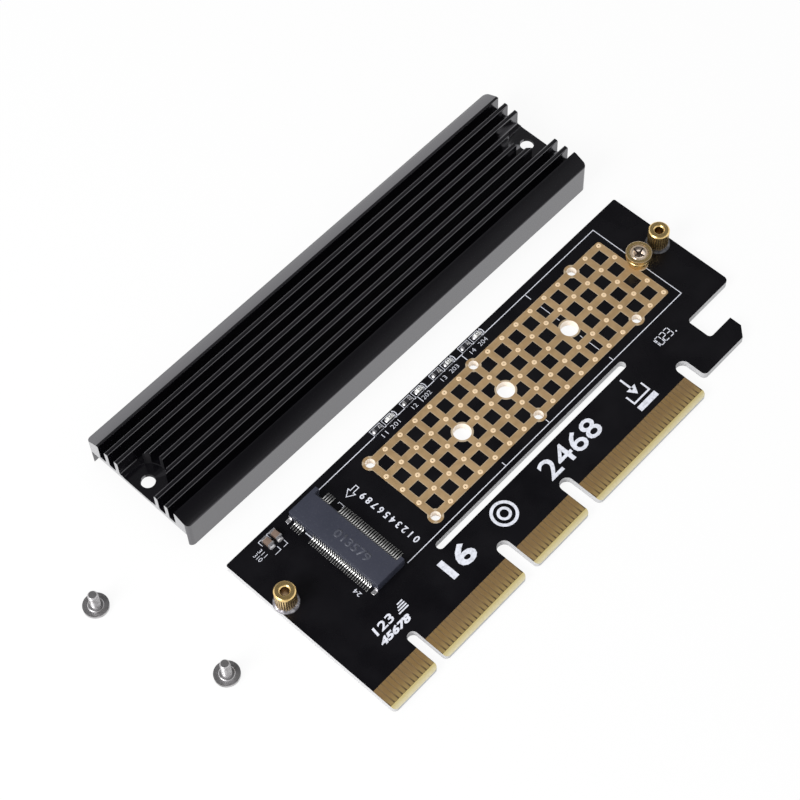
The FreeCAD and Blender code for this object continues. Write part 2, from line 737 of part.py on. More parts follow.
# The finned cover: an extruded section, cut to round corners, cleared and drilled at both ends.
def heatsink():
    body = newBody("heatsink", "dims.coverX", "dims.coverY")
    length = "(dims.standoffSpacing + 2 * dims.coverMargin)"
    outer, inner = "dims.coverWidth / 2", "dims.wallInner"
    leg = f"{outer} - dims.legThickness"
    base = "dims.legHeight + dims.baseThickness"
    crest = f"{base} + dims.crestHeight"
    shoulder = f"{base} + dims.wallShoulder"
    half = [
        (leg, "dims.legHeight"),
        (leg, "0"),
        (outer, "0"),
        (outer, shoulder),
        (f"{inner} + dims.wallCrest", crest),
        (inner, crest),
        (inner, base),
    ]
    section = newSketch(body, "coverSection", "YZ_Plane")
    addOutline(section, half + [(f"-({y})", z) for y, z in reversed(half)])
    addPad(body, section, length, symmetric=True)

    first = "-(dims.finCount - 1) / 2 * dims.finPitch"
    side, foot = "dims.finThickness / 2", "dims.finThickness / 2 + dims.finRoot"
    top = f"{base} + dims.finHeight"
    fin = newSketch(body, "coverFin", "YZ_Plane")
    addOutline(fin, [
        (f"{first} - ({foot})", base),
        (f"{first} + {foot}", base),
        (f"{first} + {side}", f"{base} + dims.finRoot"),
        (f"{first} + {side}", top, "dims.finTip"),
        (f"{first} - {side}", top, "dims.finTip"),
        (f"{first} - {side}", f"{base} + dims.finRoot"),
    ])
    blade = addPad(body, fin, length, symmetric=True)
    repeatAlong(body, blade, "Y_Axis", "dims.finPitch", "dims.finCount")

    trim = newSketch(body, "coverTrim")
    addRectangle(trim, f"-{length}", length, "-dims.coverWidth", "dims.coverWidth")
    addRectangle(trim, f"-{length} / 2", f"{length} / 2", f"-{outer}", outer, "dims.coverCorner")
    addPocket(body, trim, f"{crest} + {past}", up=True)

    hole = "dims.standoffSpacing / 2"
    clearing = newSketch(body, "coverClearing", lift=f"{base} - dims.pocketDepth")
    addSlot(clearing, (hole, "0"), (f"{hole} + {length}", "0"), "2 * dims.pocketRadius")
    cleared = addPocket(body, clearing, "dims.pocketDepth + dims.crestHeight + dims.finHeight", up=True)
    mirrorAcross(body, "YZ_Plane", [cleared])

    holes = newSketch(body, "coverHoles")
    for side in ("-", "+"):
        addCircle(holes, f"0 {side} {hole}", "0", "dims.coverHole")
    addPocket(body, holes, crest, up=True)
    body.Placement.Rotation = FreeCAD.Rotation(Vector(0, 0, 1), size("dims.coverYaw"))
    return body


def chipBody(label, start, index):
    return newBody(label, f"{socketEnd} + {start} + {index} * dims.chipPitch", "dims.chipLine", boardTop)


def addBlock(body, name, length, width, height, lift="0"):
    block = newSketch(body, name, lift=lift)
    addRectangle(block, f"-({length}) / 2", f"({length}) / 2", f"-({width}) / 2", f"({width}) / 2")
    return addPad(body, block, height)


# A film resistor: its ceramic body stands a little inside its soldered ends.
def resistor(label, index):
    body = chipBody(label, "dims.resistorStart", index)
    addBlock(body, "resistorCore", "dims.chipLength - dims.chipTerminal", "dims.chipWidth - dims.copper",
             "dims.resistorHeight - dims.copper")
    for side in ("-", "+"):
        end = newSketch(body, "resistorEnd")
        outer = f"{side}dims.chipLength / 2"
        near = f"{side}(dims.chipLength / 2 - dims.chipTerminal)"
        addRectangle(end, *sorted((outer, near), key=size), "-dims.chipWidth / 2", "dims.chipWidth / 2")
        addPad(body, end, "dims.resistorHeight")
    return body


# A lamp: a thin carrier with a tapered lens on its middle.
def led(label, index):
    body = chipBody(label, "dims.ledStart", index)
    addBlock(body, "ledCarrier", "dims.chipLength", "dims.chipWidth", "dims.ledBase")
    lens = addBlock(body, "ledLens", "dims.chipLength - 2 * dims.chipTerminal", "dims.chipWidth - dims.copper",
                    "dims.ledHeight - dims.ledBase", lift="dims.ledBase")
    lens.TaperAngle = -6
    doc.recompute()
    return body


# A ceramic capacitor: its end caps wrap a slightly smaller body.
def capacitor(label, index):
    body = newBody(label, f"{socketEnd} + dims.capacitorStart + {index} * dims.capacitorPitch",
                   "dims.capacitorLine", boardTop)
    wide, high = "dims.capacitorWidth", "dims.capacitorHeight"
    addBlock(body, "capacitorCore", f"{wide} - dims.copper * 2", "dims.capacitorLength - dims.chipTerminal",
             f"{high} - dims.copper")
    for side in ("-", "+"):
        cap = newSketch(body, "capacitorCap")
        outer = f"{side}dims.capacitorLength / 2"
        near = f"{side}(dims.capacitorLength / 2 - dims.chipTerminal)"
        addRectangle(cap, f"-{wide} / 2", f"{wide} / 2", *sorted((outer, near), key=size))
        addPad(body, cap, high)
    return body


def buildCard():
    bodies = [circuitBoard(), thermalGrid()]
    bodies.append(edgeContacts("edge_contacts_top", "dims.boardThickness - dims.copper"))
    bodies.append(edgeContacts("edge_contacts_bottom", "0"))
    bodies += [socketHousing(), rearContacts(), frontContacts()]
    bodies += [holdDown("socket_hold_down_1", "-1"), holdDown("socket_hold_down_2", "1")]
    bodies += [driveStandoff(), driveScrew()]
    for name, side in (("socket_end", "-"), ("hook_end", "+")):
        place = f"0 {side} dims.standoffSpacing / 2"
        bodies += [coverStandoff(f"cover_standoff_{name}", place), solderRing(f"solder_ring_{name}", place)]
    for index in range(chipPairs):
        bodies += [resistor(f"resistor_{index + 1}", index), led(f"led_{index + 1}", index)]
    for index in range(capacitorCount):
        bodies.append(capacitor(f"capacitor_{index + 1}", index))
    return bodies


def buildCover():
    head, height, length = "dims.coverScrewHead", "dims.coverScrewHeadHeight", "dims.coverScrewLength"
    return [
        heatsink(),
        screw("cover_screw_1", head, height, length, "dims.screwOneX", "dims.screwOneY"),
        screw("cover_screw_2", head, height, length, "dims.screwTwoX", "dims.screwTwoY"),
    ]


def checkAndExport(bodies):
    doc.recompute()
    for item in doc.Objects:
        if "Invalid" in item.State or "Error" in item.State:
            raise ValueError(f"{item.Label} failed: {item.State}")
    for body in bodies:
        if body.Shape.isNull() or not body.Shape.isValid():
            raise ValueError(f"{body.Label} has no valid shape")
    os.makedirs("parts", exist_ok=True)
    for body in bodies:
        body.Shape.exportStep(f"parts/{body.Label}.step")
        print(body.Label, len(body.Shape.Solids), round(body.Shape.Volume, 3))


fillSheet()
checkAndExport(buildCard() + buildCover())
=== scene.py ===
import bpy
import bmesh
import json
import math
from mathutils import Matrix, Vector


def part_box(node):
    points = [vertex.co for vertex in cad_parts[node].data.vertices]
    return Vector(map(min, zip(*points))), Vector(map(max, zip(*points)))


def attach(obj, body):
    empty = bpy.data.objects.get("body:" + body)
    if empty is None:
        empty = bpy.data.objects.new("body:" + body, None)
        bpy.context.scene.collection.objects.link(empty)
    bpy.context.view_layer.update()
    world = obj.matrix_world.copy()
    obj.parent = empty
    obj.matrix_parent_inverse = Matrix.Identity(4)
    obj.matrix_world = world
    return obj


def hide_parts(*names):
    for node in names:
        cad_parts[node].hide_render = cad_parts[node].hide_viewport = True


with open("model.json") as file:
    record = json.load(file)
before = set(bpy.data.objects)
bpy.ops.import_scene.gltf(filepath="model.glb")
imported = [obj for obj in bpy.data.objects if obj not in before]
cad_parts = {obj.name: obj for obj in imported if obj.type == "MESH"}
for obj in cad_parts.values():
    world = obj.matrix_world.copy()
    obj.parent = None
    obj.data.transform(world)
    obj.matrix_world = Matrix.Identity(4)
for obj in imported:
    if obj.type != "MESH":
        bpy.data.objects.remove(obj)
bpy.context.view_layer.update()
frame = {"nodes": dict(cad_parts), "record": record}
mm = 0.001
boardLow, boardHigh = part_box("circuit_board")
contactLow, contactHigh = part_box("edge_contacts_top")
gridLow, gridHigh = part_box("thermal_grid")
socketLow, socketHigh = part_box("m2_socket_housing")
boardTop = boardHigh.z
firstLine = gridLow.x + 1.5 * mm  # the grid's first line, inside the rings at its corners
print("frame loaded", len(frame["nodes"]), "nodes")


# Shader helpers

class Wire:  # a socket that takes part in Python arithmetic
    def __init__(self, graph, socket):
        self.graph = graph
        self.socket = socket

    def math(self, operation, *values):
        return self.graph.add("ShaderNodeMath", {"operation": operation}, values)

    def __add__(self, other):
        return self.math("ADD", self, other)

    def __sub__(self, other):
        return self.math("SUBTRACT", self, other)

    def __rsub__(self, other):
        return self.math("SUBTRACT", other, self)

    def __mul__(self, other):
        return self.math("MULTIPLY", self, other)

    def __pow__(self, other):
        return self.math("POWER", self, other)

    __radd__ = __add__
    __rmul__ = __mul__

    def over(self, edge, softness):  # 0 below the edge, 1 above it
        values = [self, edge - softness, edge + softness, 0.0, 1.0]
        return self.graph.add("ShaderNodeMapRange", {"interpolation_type": "SMOOTHSTEP"}, values)


class Graph:
    def __init__(self, tree):
        self.tree = tree

    def add(self, kind, settings=None, values=(), output=0):
        node = self.tree.nodes.new(kind)
        for name, value in (settings or {}).items():
            setattr(node, name, value)
        for key, value in values.items() if isinstance(values, dict) else enumerate(values):
            if isinstance(value, Wire):
                self.tree.links.new(value.socket, node.inputs[key])
            elif value is not None:
                node.inputs[key].default_value = value
        return Wire(self, node.outputs[output])

    def place(self):
        return self.add("ShaderNodeTexCoord", output=3)

    def noise(self, scale, detail=2.0, where=None):
        values = {"Vector": where or self.place(), "Scale": scale, "Detail": detail}
        return self.add("ShaderNodeTexNoise", values=values)

    def stretch(self, factors):
        return self.add("ShaderNodeMapping", values={"Vector": self.place(), "Scale": factors})

    def axis(self, vector, index):
        return self.add("ShaderNodeSeparateXYZ", values=[vector], output=index)

    def blend(self, mask, first, second):
        settings = {"data_type": "RGBA"}
        return self.add("ShaderNodeMix", settings, {0: mask, 6: colour(first), 7: colour(second)}, 2)

    def bump(self, height, distance, strength=1.0):
        values = {"Strength": strength, "Distance": distance * mm, "Height": height}
        return self.add("ShaderNodeBump", values=values)


def colour(value):
    return value if isinstance(value, Wire) else (*value, 1.0)


def grey(level):
    return (level, level, level)


def shaded(tone, part):
    return tuple(value * part for value in tone)


materials = {}


def material(name, **fixed):  # a Principled material with its constant values set on the shader
    made = bpy.data.materials.new(name)
    made.use_nodes = True
    shader = made.node_tree.nodes["Principled BSDF"]
    for key, value in fixed.items():
        shader.inputs[key.replace("_", " ")].default_value = value
    materials[name] = made
    graph = Graph(made.node_tree)

    def feed(key, wire):
        graph.tree.links.new(wire.socket, shader.inputs[key])

    return graph, feed


# Finishes

maskLook = {
    "colour": (0.0034, 0.0031, 0.0045), "haze": (0.0060, 0.0056, 0.0076), "laminate": (0.64, 0.64, 0.65),
}


def solderMask():
    graph, feed = material("solderMask", IOR=1.42)
    patches = graph.noise(140.0, 4.0).over(0.5, 0.25)
    mask = graph.blend(patches, maskLook["colour"], maskLook["haze"])
    normal = graph.add("ShaderNodeNewGeometry", output=1)
    upright = 1 - graph.axis(normal, 2).math("ABSOLUTE", graph.axis(normal, 2)).over(0.5, 0.2)
    strands = graph.noise(1.0, 2.0, graph.stretch((900.0, 900.0, 9000.0)))
    edge = graph.blend(strands, maskLook["laminate"], shaded(maskLook["laminate"], 0.72))
    feed("Base Color", graph.blend(upright, mask, edge))
    feed("Roughness", 0.24 + 0.08 * patches + 0.4 * upright)
    weave = graph.noise(2600.0, 2.0)
    feed("Normal", graph.bump(weave, 0.012, 0.35))


tongueLook = {
    # foot: painted shade for the gaps where they meet the contacts' feet
    "gap": (0.24, 0.155, 0.065), "foot": (0.085, 0.055, 0.02),
    "bevel": (0.54, 0.44, 0.18), "pale": (0.70, 0.65, 0.44), "strand": (0.48, 0.38, 0.16),
}


def tongueGap():  # bare laminate between the contacts, with painted shade darkening it towards their feet, pale below them
    graph, feed = material("tongueGap", Roughness=0.6)
    low, high = contactLow.y, contactHigh.y
    across = graph.axis(graph.place(), 1)
    down = across.over(low + (high - low) * 0.22, (high - low) * 0.22)
    strands = graph.noise(1.0, 3.0, graph.stretch((2600.0, 700.0, 2600.0)))
    # painted shade: the gaps darken towards the contacts' feet
    tone = graph.blend(down, tongueLook["foot"], tongueLook["gap"])
    tone = graph.blend(strands.over(0.55, 0.2) * 0.3, tone, tongueLook["foot"])
    feed("Base Color", graph.blend(across.over(low - 0.05 * mm, 0.04 * mm), tongueLook["bevel"], tone))
    feed("Normal", graph.bump(strands, 0.02, 0.5))


def tongueBevel():
    graph, feed = material("tongueBevel", Roughness=0.5)
    strands = graph.noise(1.0, 3.0, graph.stretch((2200.0, 5200.0, 5200.0)))
    low, foot = boardLow.y, contactLow.y
    above = graph.axis(graph.place(), 1).over((low + foot) / 2, (foot - low) / 2)
    tone = graph.blend(above, tongueLook["pale"], tongueLook["bevel"])
    feed("Base Color", graph.blend(strands.over(0.5, 0.25) * 0.35, tone, tongueLook["strand"]))
    feed("Normal", graph.bump(strands, 0.02, 0.4))


goldLook = {
    # edge: a painted highlight along the grid's lines
    "grid": (0.47, 0.315, 0.16), "worn": (0.35, 0.225, 0.105), "edge": (0.54, 0.44, 0.31),
    # foot: a painted reflection, paler towards the contacts' feet
    "contact": (0.37, 0.23, 0.09), "foot": (0.52, 0.37, 0.15),
    "halfPitch": 2.0, "highlightAt": 0.66, "highlightBlur": 0.07,
}


def giltCopper():  # the lines of the grid are paler along their edges: a painted highlight where their rounded edges catch the light
    graph, feed = material("giltCopper", Metallic=0.2)
    grain = graph.noise(1900.0, 3.0)
    drift = graph.noise(90.0, 2.0).over(0.55, 0.3) * 0.5 + graph.noise(620.0, 3.0).over(0.5, 0.2) * 0.5
    place, halfPitch = graph.place(), goldLook["halfPitch"] * mm
    fromLine = []
    for index, start in ((0, firstLine), (1, 0.0)):
        along = graph.axis(place, index) - start
        fromLine.append(along.math("PINGPONG", along, halfPitch))
    # painted highlight near both edges of every line
    edge = fromLine[0].math("MINIMUM", *fromLine).over(goldLook["highlightAt"] * mm, goldLook["highlightBlur"] * mm)
    tone = graph.blend(drift, goldLook["grid"], goldLook["worn"])
    feed("Base Color", graph.blend(edge * 0.8, tone, goldLook["edge"]))
    feed("Roughness", 0.46 + 0.14 * grain)
    feed("Normal", graph.bump(grain, 0.01, 0.5))


def giltContact():  # paler towards the foot: a painted reflection that brightens each contact along its length
    graph, feed = material("giltContact", Metallic=0.5)
    along = graph.noise(1.0, 3.0, graph.stretch((300.0, 60.0, 60.0)))
    brushed = graph.noise(1.0, 2.0, graph.stretch((6000.0, 400.0, 400.0)))
    low, high = contactLow.y, contactHigh.y
    # painted reflection: each contact lightens towards its foot
    foot = 1 - graph.axis(graph.place(), 1).over(low + (high - low) * 0.3, (high - low) * 0.25)
    tone = graph.blend(along.over(0.5, 0.25), goldLook["contact"], goldLook["worn"])
    feed("Base Color", graph.blend(foot * 0.75 + brushed.over(0.6, 0.2) * 0.15, tone, goldLook["foot"]))
    feed("Roughness", 0.30 + 0.12 * brushed)
    feed("Normal", graph.bump(brushed, 0.004, 0.4))


plasticLook = {"slate": ((0.030, 0.034, 0.054), (0.038, 0.041, 0.064)), "speck": (0.06, 0.063, 0.084)}


def slatePlastic():
    graph, feed = material("slatePlastic", IOR=1.5, Specular_IOR_Level=0.5)
    grain = graph.noise(3200.0, 3.0)
    drift = graph.noise(160.0, 3.0).over(0.5, 0.25)
    tone = graph.blend(drift, *plasticLook["slate"])
    feed("Base Color", graph.blend(grain.over(0.62, 0.08) * 0.35, tone, plasticLook["speck"]))
    feed("Roughness", 0.44 + 0.12 * grain)
    feed("Normal", graph.bump(grain, 0.01, 0.5))


stripTones = {  # the flanks of a strip carry painted shade, dark beside its plated faces
    "tinnedContact": ((0.78, 0.78, 0.77), (0.54, 0.54, 0.53)),
    "contactFlank": ((0.10, 0.10, 0.10), (0.05, 0.05, 0.05)),
}


def contactStrips():
    for name, tones in stripTones.items():
        graph, feed = material(name, Metallic=0.95)
        streaks = graph.noise(1.0, 2.0, graph.stretch((900.0, 5200.0, 900.0)))
        feed("Base Color", graph.blend(streaks, *tones))
        feed("Roughness", 0.26 + 0.14 * streaks)


turnedTones = {  # bright tone, tarnished tone, roughness, metallic
    "turnedBrass": ((0.86, 0.62, 0.27), (0.62, 0.42, 0.16), 0.20, 0.88),
    "turnedSteel": ((0.52, 0.51, 0.52), (0.30, 0.29, 0.29), 0.25, 0.85),
    # the next two tones are painted shade, for the bore and for the grooves between the knurl's teeth
    "darkBore": ((0.30, 0.17, 0.045), (0.11, 0.06, 0.018), 0.22, 0.9),
    "knurlGroove": ((0.20, 0.13, 0.06), (0.09, 0.055, 0.03), 0.34, 0.8),
    "crossShade": ((0.20, 0.15, 0.12), (0.10, 0.07, 0.05), 0.20, 0.85),
    "nickelScrew": ((0.92, 0.80, 0.70), (0.66, 0.54, 0.44), 0.14, 0.95),
    # the next tone is a painted sheen for the upward faces of the post and the screw's rim
    "paleBrass": ((0.84, 0.68, 0.50), (0.64, 0.50, 0.35), 0.26, 0.60),
}


def turnedMetals():
    for name, (bright, tarnished, rough, metallic) in turnedTones.items():
        graph, feed = material(name, Metallic=metallic)
        rings = graph.noise(1.0, 2.0, graph.stretch((500.0, 500.0, 14000.0)))
        tarnish = graph.noise(700.0, 3.0).over(0.6, 0.15)
        feed("Base Color", graph.blend(tarnish, bright, tarnished))
        feed("Roughness", rough + 0.12 * rings + 0.12 * tarnish)
        feed("Normal", graph.bump(rings, 0.006, 0.5))


solderTones = {  # light tone, dark tone, roughness; the dull one is much darker than the others
    "solderMetal": ((0.88, 0.87, 0.88), (0.60, 0.59, 0.62), 0.2),
    "moundSolder": ((0.44, 0.43, 0.45), (0.15, 0.14, 0.16), 0.28),
    "dullSolder": ((0.16, 0.16, 0.17), (0.07, 0.07, 0.08), 0.34),
}


def solders():
    for name, (light, dark, rough) in solderTones.items():
        graph, feed = material(name, Metallic=0.85)
        lumps = graph.noise(1300.0, 3.0)
        feed("Base Color", graph.blend(lumps.over(0.5, 0.2), light, dark))
        feed("Roughness", rough + 0.2 * lumps)
        feed("Normal", graph.bump(lumps, 0.1, 0.9))


anodisedLook = {
    # cut: the sawn ends' light grey, partly a painted reflection
    "colour": (0.0017, 0.0015, 0.0025), "worn": (0.0038, 0.0034, 0.0050), "cut": (0.46, 0.46, 0.47),
}


def blackAnodised():
    graph, feed = material("blackAnodised", IOR=2.2, Specular_Tint=(0.96, 0.95, 1.0, 1.0))
    drawn = graph.noise(1.0, 3.0, graph.stretch((22.0, 5200.0, 5200.0)))  # die lines along the extrusion
    grain = graph.noise(5200.0, 2.0)
    drift = graph.noise(60.0, 3.0).over(0.5, 0.25)
    feed("Base Color", graph.blend(drift * 0.6 + grain * 0.25, anodisedLook["colour"], anodisedLook["worn"]))
    feed("Roughness", 0.12 + 0.05 * drawn + 0.03 * drift)
    feed("Normal", graph.bump(drawn * 0.7 + grain * 0.3, 0.004, 0.5))


def sawnEnd():  # where the extrusion was cut to length; its light grey is partly the cut metal and partly a painted reflection of the bright surroundings
    graph, feed = material("sawnEnd", IOR=1.62, Metallic=0.3)
    teeth = graph.noise(1.0, 2.0, graph.stretch((400.0, 900.0, 7000.0)))
    grain = graph.noise(2400.0, 3.0)
    feed("Base Color", graph.blend(grain, anodisedLook["cut"], shaded(anodisedLook["cut"], 0.8)))
    feed("Roughness", 0.34 + 0.16 * teeth)
    feed("Normal", graph.bump(teeth, 0.008, 0.5))


inkLook = {"thin": (0.50, 0.51, 0.56), "full": (0.76, 0.78, 0.86), "line": 0.16, "box": 0.11, "lift": 0.02}


def printInk():
    graph, feed = material("printInk", IOR=1.45, Roughness=0.55)
    cover = graph.noise(2200.0, 3.0).over(0.40, 0.2)
    feed("Base Color", graph.blend(cover, inkLook["thin"], inkLook["full"]))


resinTones = ((0.94, 0.94, 0.93), (0.76, 0.77, 0.75))


def lampResin():
    graph, feed = material("lampResin", IOR=1.5, Coat_Weight=0.4, Coat_Roughness=0.1)
    grain = graph.noise(1600.0, 2.0)
    feed("Base Color", graph.blend(grain.over(0.5, 0.2), *resinTones))
    feed("Roughness", 0.25 + 0.15 * grain)


grainedLook = {  # two tones, the grain's scale and detail, roughness and its spread, fixed values
    "viaSolder": ((1.0, 0.80, 0.54), (0.88, 0.62, 0.37), 2500.0, 2.0, 0.28, 0.1, {"Metallic": 0.15}),
    "sleevePlate": ((1.0, 0.93, 0.84), (0.95, 0.84, 0.72), 2500.0, 2.0, 0.28, 0.1, {"Metallic": 0.1}),
    "rubbedSlate": ((0.075, 0.080, 0.105), (0.050, 0.054, 0.078), 2600.0, 3.0, 0.42, 0.12, {"IOR": 1.5}),
    "milledWall": (anodisedLook["colour"], anodisedLook["worn"], 6000.0, 2.0, 0.50, 0.10, {"IOR": 1.3}),
    "resistorFilm": ((0.016, 0.016, 0.02), (0.035, 0.035, 0.042), 3000.0, 2.0, 0.3, 0.2, {"IOR": 1.5}),
    "ceramic": ((0.25, 0.175, 0.135), (0.16, 0.11, 0.085), 2600.0, 3.0, 0.42, 0.2, {"IOR": 1.5}),
}


def grainedFinishes():  # plain finishes whose tone and roughness share one fine grain
    for name, (first, second, scale, detail, rough, spread, fixed) in grainedLook.items():
        graph, feed = material(name, **fixed)
        grain = graph.noise(scale, detail)
        feed("Base Color", graph.blend(grain, first, second))
        feed("Roughness", rough + spread * grain)


for make in (solderMask, tongueGap, tongueBevel, giltCopper, giltContact, slatePlastic, contactStrips,
             turnedMetals, solders, blackAnodised, sawnEnd, printInk, lampResin, grainedFinishes):
    make()
print("finishes made", len(materials))


# Mesh helpers

def piece(name, mesh, finishes, nodes=()):
    made = bpy.data.objects.new(name, mesh)
    bpy.context.scene.collection.objects.link(made)
    mesh.materials.clear()
    for finish in finishes:
        mesh.materials.append(materials[finish])
    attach(made, "root")
    if nodes:
        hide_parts(*nodes)
    return made


squareCorners = ((-1, -1), (1, -1), (1, 1), (-1, 1))


def merged(node):  # a copy of a CAD node's mesh, with its doubles merged and its flat faces whole
    mesh = frame["nodes"][node].data.copy()
    work = bmesh.new()
    work.from_mesh(mesh)
    bmesh.ops.remove_doubles(work, verts=work.verts, dist=1e-6)
    bmesh.ops.dissolve_limit(work, angle_limit=math.radians(1.0), verts=work.verts, edges=work.edges)
    work.to_mesh(mesh)
    work.free()
    return mesh


def refined(name, node, finishes, width=0.0, segments=2, angle=35.0, mark=None):
    # a CAD node's own shape with small rounded edges and smooth round faces
    mesh = merged(node)
    made = bpy.data.objects.new(name + "Work", mesh)
    bpy.context.scene.collection.objects.link(made)
    if width:
        bevel = made.modifiers.new("edges", "BEVEL")
        bevel.width = width * mm
        bevel.segments = segments
        bevel.limit_method = "ANGLE"
        bevel.angle_limit = math.radians(angle)
        bevel.use_clamp_overlap = True
    graph = bpy.context.evaluated_depsgraph_get()
    finished = bpy.data.meshes.new_from_object(made.evaluated_get(graph))
    bpy.data.objects.remove(made)
    for face in finished.polygons:  # broad faces stay flat beside their rounded edges
        face.use_smooth = face.area < 1.5e-6
    finished.set_sharp_from_angle(angle=math.radians(angle))
    made = piece(name, finished, finishes, [node])
    if mark:
        for face in finished.polygons:
            face.material_index = mark(face)
    return made


def middleOf(node, level):
    low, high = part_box(node)
    return Vector(((low.x + high.x) / 2, (low.y + high.y) / 2, level))


def meshOf(name, work, smooth=None):
    mesh = bpy.data.meshes.new(name)
    work.to_mesh(mesh)
    work.free()
    if smooth is not None:
        for face in mesh.polygons:
            face.use_smooth = True
        mesh.set_sharp_from_angle(angle=math.radians(smooth))
    return mesh


def around(radius, turn, height=0.0):
    return Vector((radius * math.cos(turn), radius * math.sin(turn), height))


def turnedWall(work, profile, steps, centre=Vector(), closed=False):
    # profile points (radius, height) turned about Z, faces outward where the height climbs
    rings = []
    for radius, height in profile:
        if radius < 1e-9:
            rings.append([work.verts.new(centre + Vector((0, 0, height)))])
            continue
        points = [around(radius, 2 * math.pi * k / steps, height) for k in range(steps)]
        rings.append([work.verts.new(centre + point) for point in points])
    joinRings(work, rings + rings[:1] if closed else rings, steps)


def joinRings(work, rings, steps):  # a ring may be a single point
    for low, high in zip(rings, rings[1:]):
        for k in range(steps):
            corners = [low[k % len(low)], low[(k + 1) % len(low)]]
            corners += [high[(k + 1) % len(high)], high[k % len(high)]]
            work.faces.new(list(dict.fromkeys(corners)))


# The card

cardLook = {"bareBeyond": 1.6, "gridEdge": 0.015}


def cardBoard():
    end = contactHigh.x + cardLook["bareBeyond"] * mm

    def bare(face):  # the mask ends above the contacts
        centre, normal = face.center, face.normal
        if centre.y > contactHigh.y - 1e-5 or centre.x > end or abs(normal.z) < 0.5:
            return 0
        return 2 if abs(normal.z) < 0.99 or centre.y < contactLow.y else 1

    finishes = ["solderMask", "tongueGap", "tongueBevel"]
    refined("cardBoard", "circuit_board", finishes, mark=bare)
    refined("thermalGrid", "thermal_grid", ["giltCopper"], cardLook["gridEdge"], 1)
    for side in ("top", "bottom"):
        refined(f"edgeContacts.{side}", f"edge_contacts_{side}", ["giltContact"])


gridLook = {
    "pitch": 4.0, "columns": 17, "rows": 5, "clear": 2.7,
    "viaRadius": 0.50, "viaBore": 0.10, "viaRise": 0.05,
    "postHole": 1.75, "edgeHole": 0.95, "edgeColumns": (0, 7, 14), "sleeve": 0.04,
}
gridHalf = gridLook["pitch"] * (gridLook["rows"] - 1) / 2 * mm


def crossings():
    first = Vector((firstLine, -gridHalf, gridHigh.z))
    step = gridLook["pitch"] * mm
    spots = [first + Vector((column * step, row * step, 0)) for column in range(gridLook["columns"])
             for row in range(gridLook["rows"])]
    holes, clear = [found[0] for found in ringCentres()], gridLook["clear"] * mm
    return [spot for spot in spots if all((spot - hole).xy.length > clear for hole in holes)]


def ringCentres():  # every plated hole's middle and radius, from the mounts and the grid's own rows
    found = []
    for mount in frame["record"]["mounts"]:
        if mount["name"].startswith("drive_hole"):
            found.append((Vector((*mount["pos_m"][:2], gridHigh.z)), mount["dims"]["r_mm"] * mm))
    found.append((middleOf("m2_standoff", gridHigh.z), gridLook["postHole"] * mm))
    for column in gridLook["edgeColumns"]:
        for side in (-1, 1):
            x = firstLine + column * gridLook["pitch"] * mm
            found.append((Vector((x, side * gridHalf, gridHigh.z)), gridLook["edgeHole"] * mm))
    return found


def grown(name, points, finish, inputs, build):
    # runs a node tree with named inputs on some points and gives its result as one plain mesh
    host = bpy.data.objects.new(name + "Host", bpy.data.meshes.new(name + "Host"))
    host.data.from_pydata([tuple(point) for point in points], [], [])
    bpy.context.scene.collection.objects.link(host)
    tree = bpy.data.node_groups.new(name + "Tree", "GeometryNodeTree")
    face = tree.interface
    face.new_socket("Geometry", in_out="INPUT", socket_type="NodeSocketGeometry")
    chosen = {}
    for key, (kind, value) in inputs.items():
        chosen[face.new_socket(key, in_out="INPUT", socket_type="NodeSocket" + kind).identifier] = value
    face.new_socket("Geometry", in_out="OUTPUT", socket_type="NodeSocketGeometry")
    graph = Graph(tree)
    entry = tree.nodes.new("NodeGroupInput")
    given = {socket.name: Wire(graph, socket) for socket in entry.outputs if socket.name}
    real = graph.add("GeometryNodeRealizeInstances", values=[build(graph, given)])
    done = graph.add("GeometryNodeSetMaterial", values={"Geometry": real, "Material": materials[finish]})
    leave = tree.nodes.new("NodeGroupOutput")
    tree.links.new(done.socket, leave.inputs[0])
    modifier = host.modifiers.new("nodes", "NODES")
    modifier.node_group = tree
    for identifier, value in chosen.items():
        modifier[identifier] = value
    bpy.context.view_layer.update()
    mesh = bpy.data.meshes.new_from_object(host.evaluated_get(bpy.context.evaluated_depsgraph_get()))
    host.modifiers.remove(modifier)
    bpy.data.objects.remove(host)
    return mesh


def scatter(name, points, shape, finish, turn=0.0):  # one copy of the shape on every point
    model = bpy.data.objects.new(name + "Shape", shape)
    bpy.context.scene.collection.objects.link(model)

    def build(graph, given):
        copied = graph.add("GeometryNodeObjectInfo", values={"Object": given["Shape"]}, output="Geometry")
        turned = graph.add("ShaderNodeCombineXYZ", values={"Z": given["Turn"]})
        values = {"Points": given["Geometry"], "Scale": given["Scale"]}
        values.update({"Instance": copied, "Rotation": turned})
        return graph.add("GeometryNodeInstanceOnPoints", values=values)

    inputs = {"Shape": ("Object", model), "Scale": ("Float", 1.0), "Turn": ("Float", math.radians(turn))}
    mesh = grown(name, points, finish, inputs, build)
    bpy.data.objects.remove(model)
    return piece(name, mesh, [finish])


def vias():
    outer, bore, rise = (gridLook[key] * mm for key in ("viaRadius", "viaBore", "viaRise"))
    work = bmesh.new()
    profile = [(outer, 0), (outer * 0.93, rise * 0.7), (outer * 0.75, rise),
               (bore * 1.5, rise * 0.75), (bore, 0), (0, 0)]
    turnedWall(work, profile, 16)
    scatter("gridVias", crossings(), meshOf("viaShape", work, 60), "viaSolder")


def sleeves():  # the plated walls of the holes through the card
    work = bmesh.new()
    low, high = 0.004 * mm, gridHigh.z - 0.01 * mm
    for centre, radius in ringCentres():
        inner, outer = radius - gridLook["sleeve"] * mm, radius - 0.002 * mm
        ring = [(inner, high), (inner, low), (outer, low), (outer, high)]
        turnedWall(work, ring, 48, Vector((centre.x, centre.y, 0)), closed=True)
    bmesh.ops.recalc_face_normals(work, faces=work.faces)
    piece("holeSleeves", meshOf("holeSleeves", work, 40), ["sleevePlate"])


# White print: lines, generic digits and plain symbols

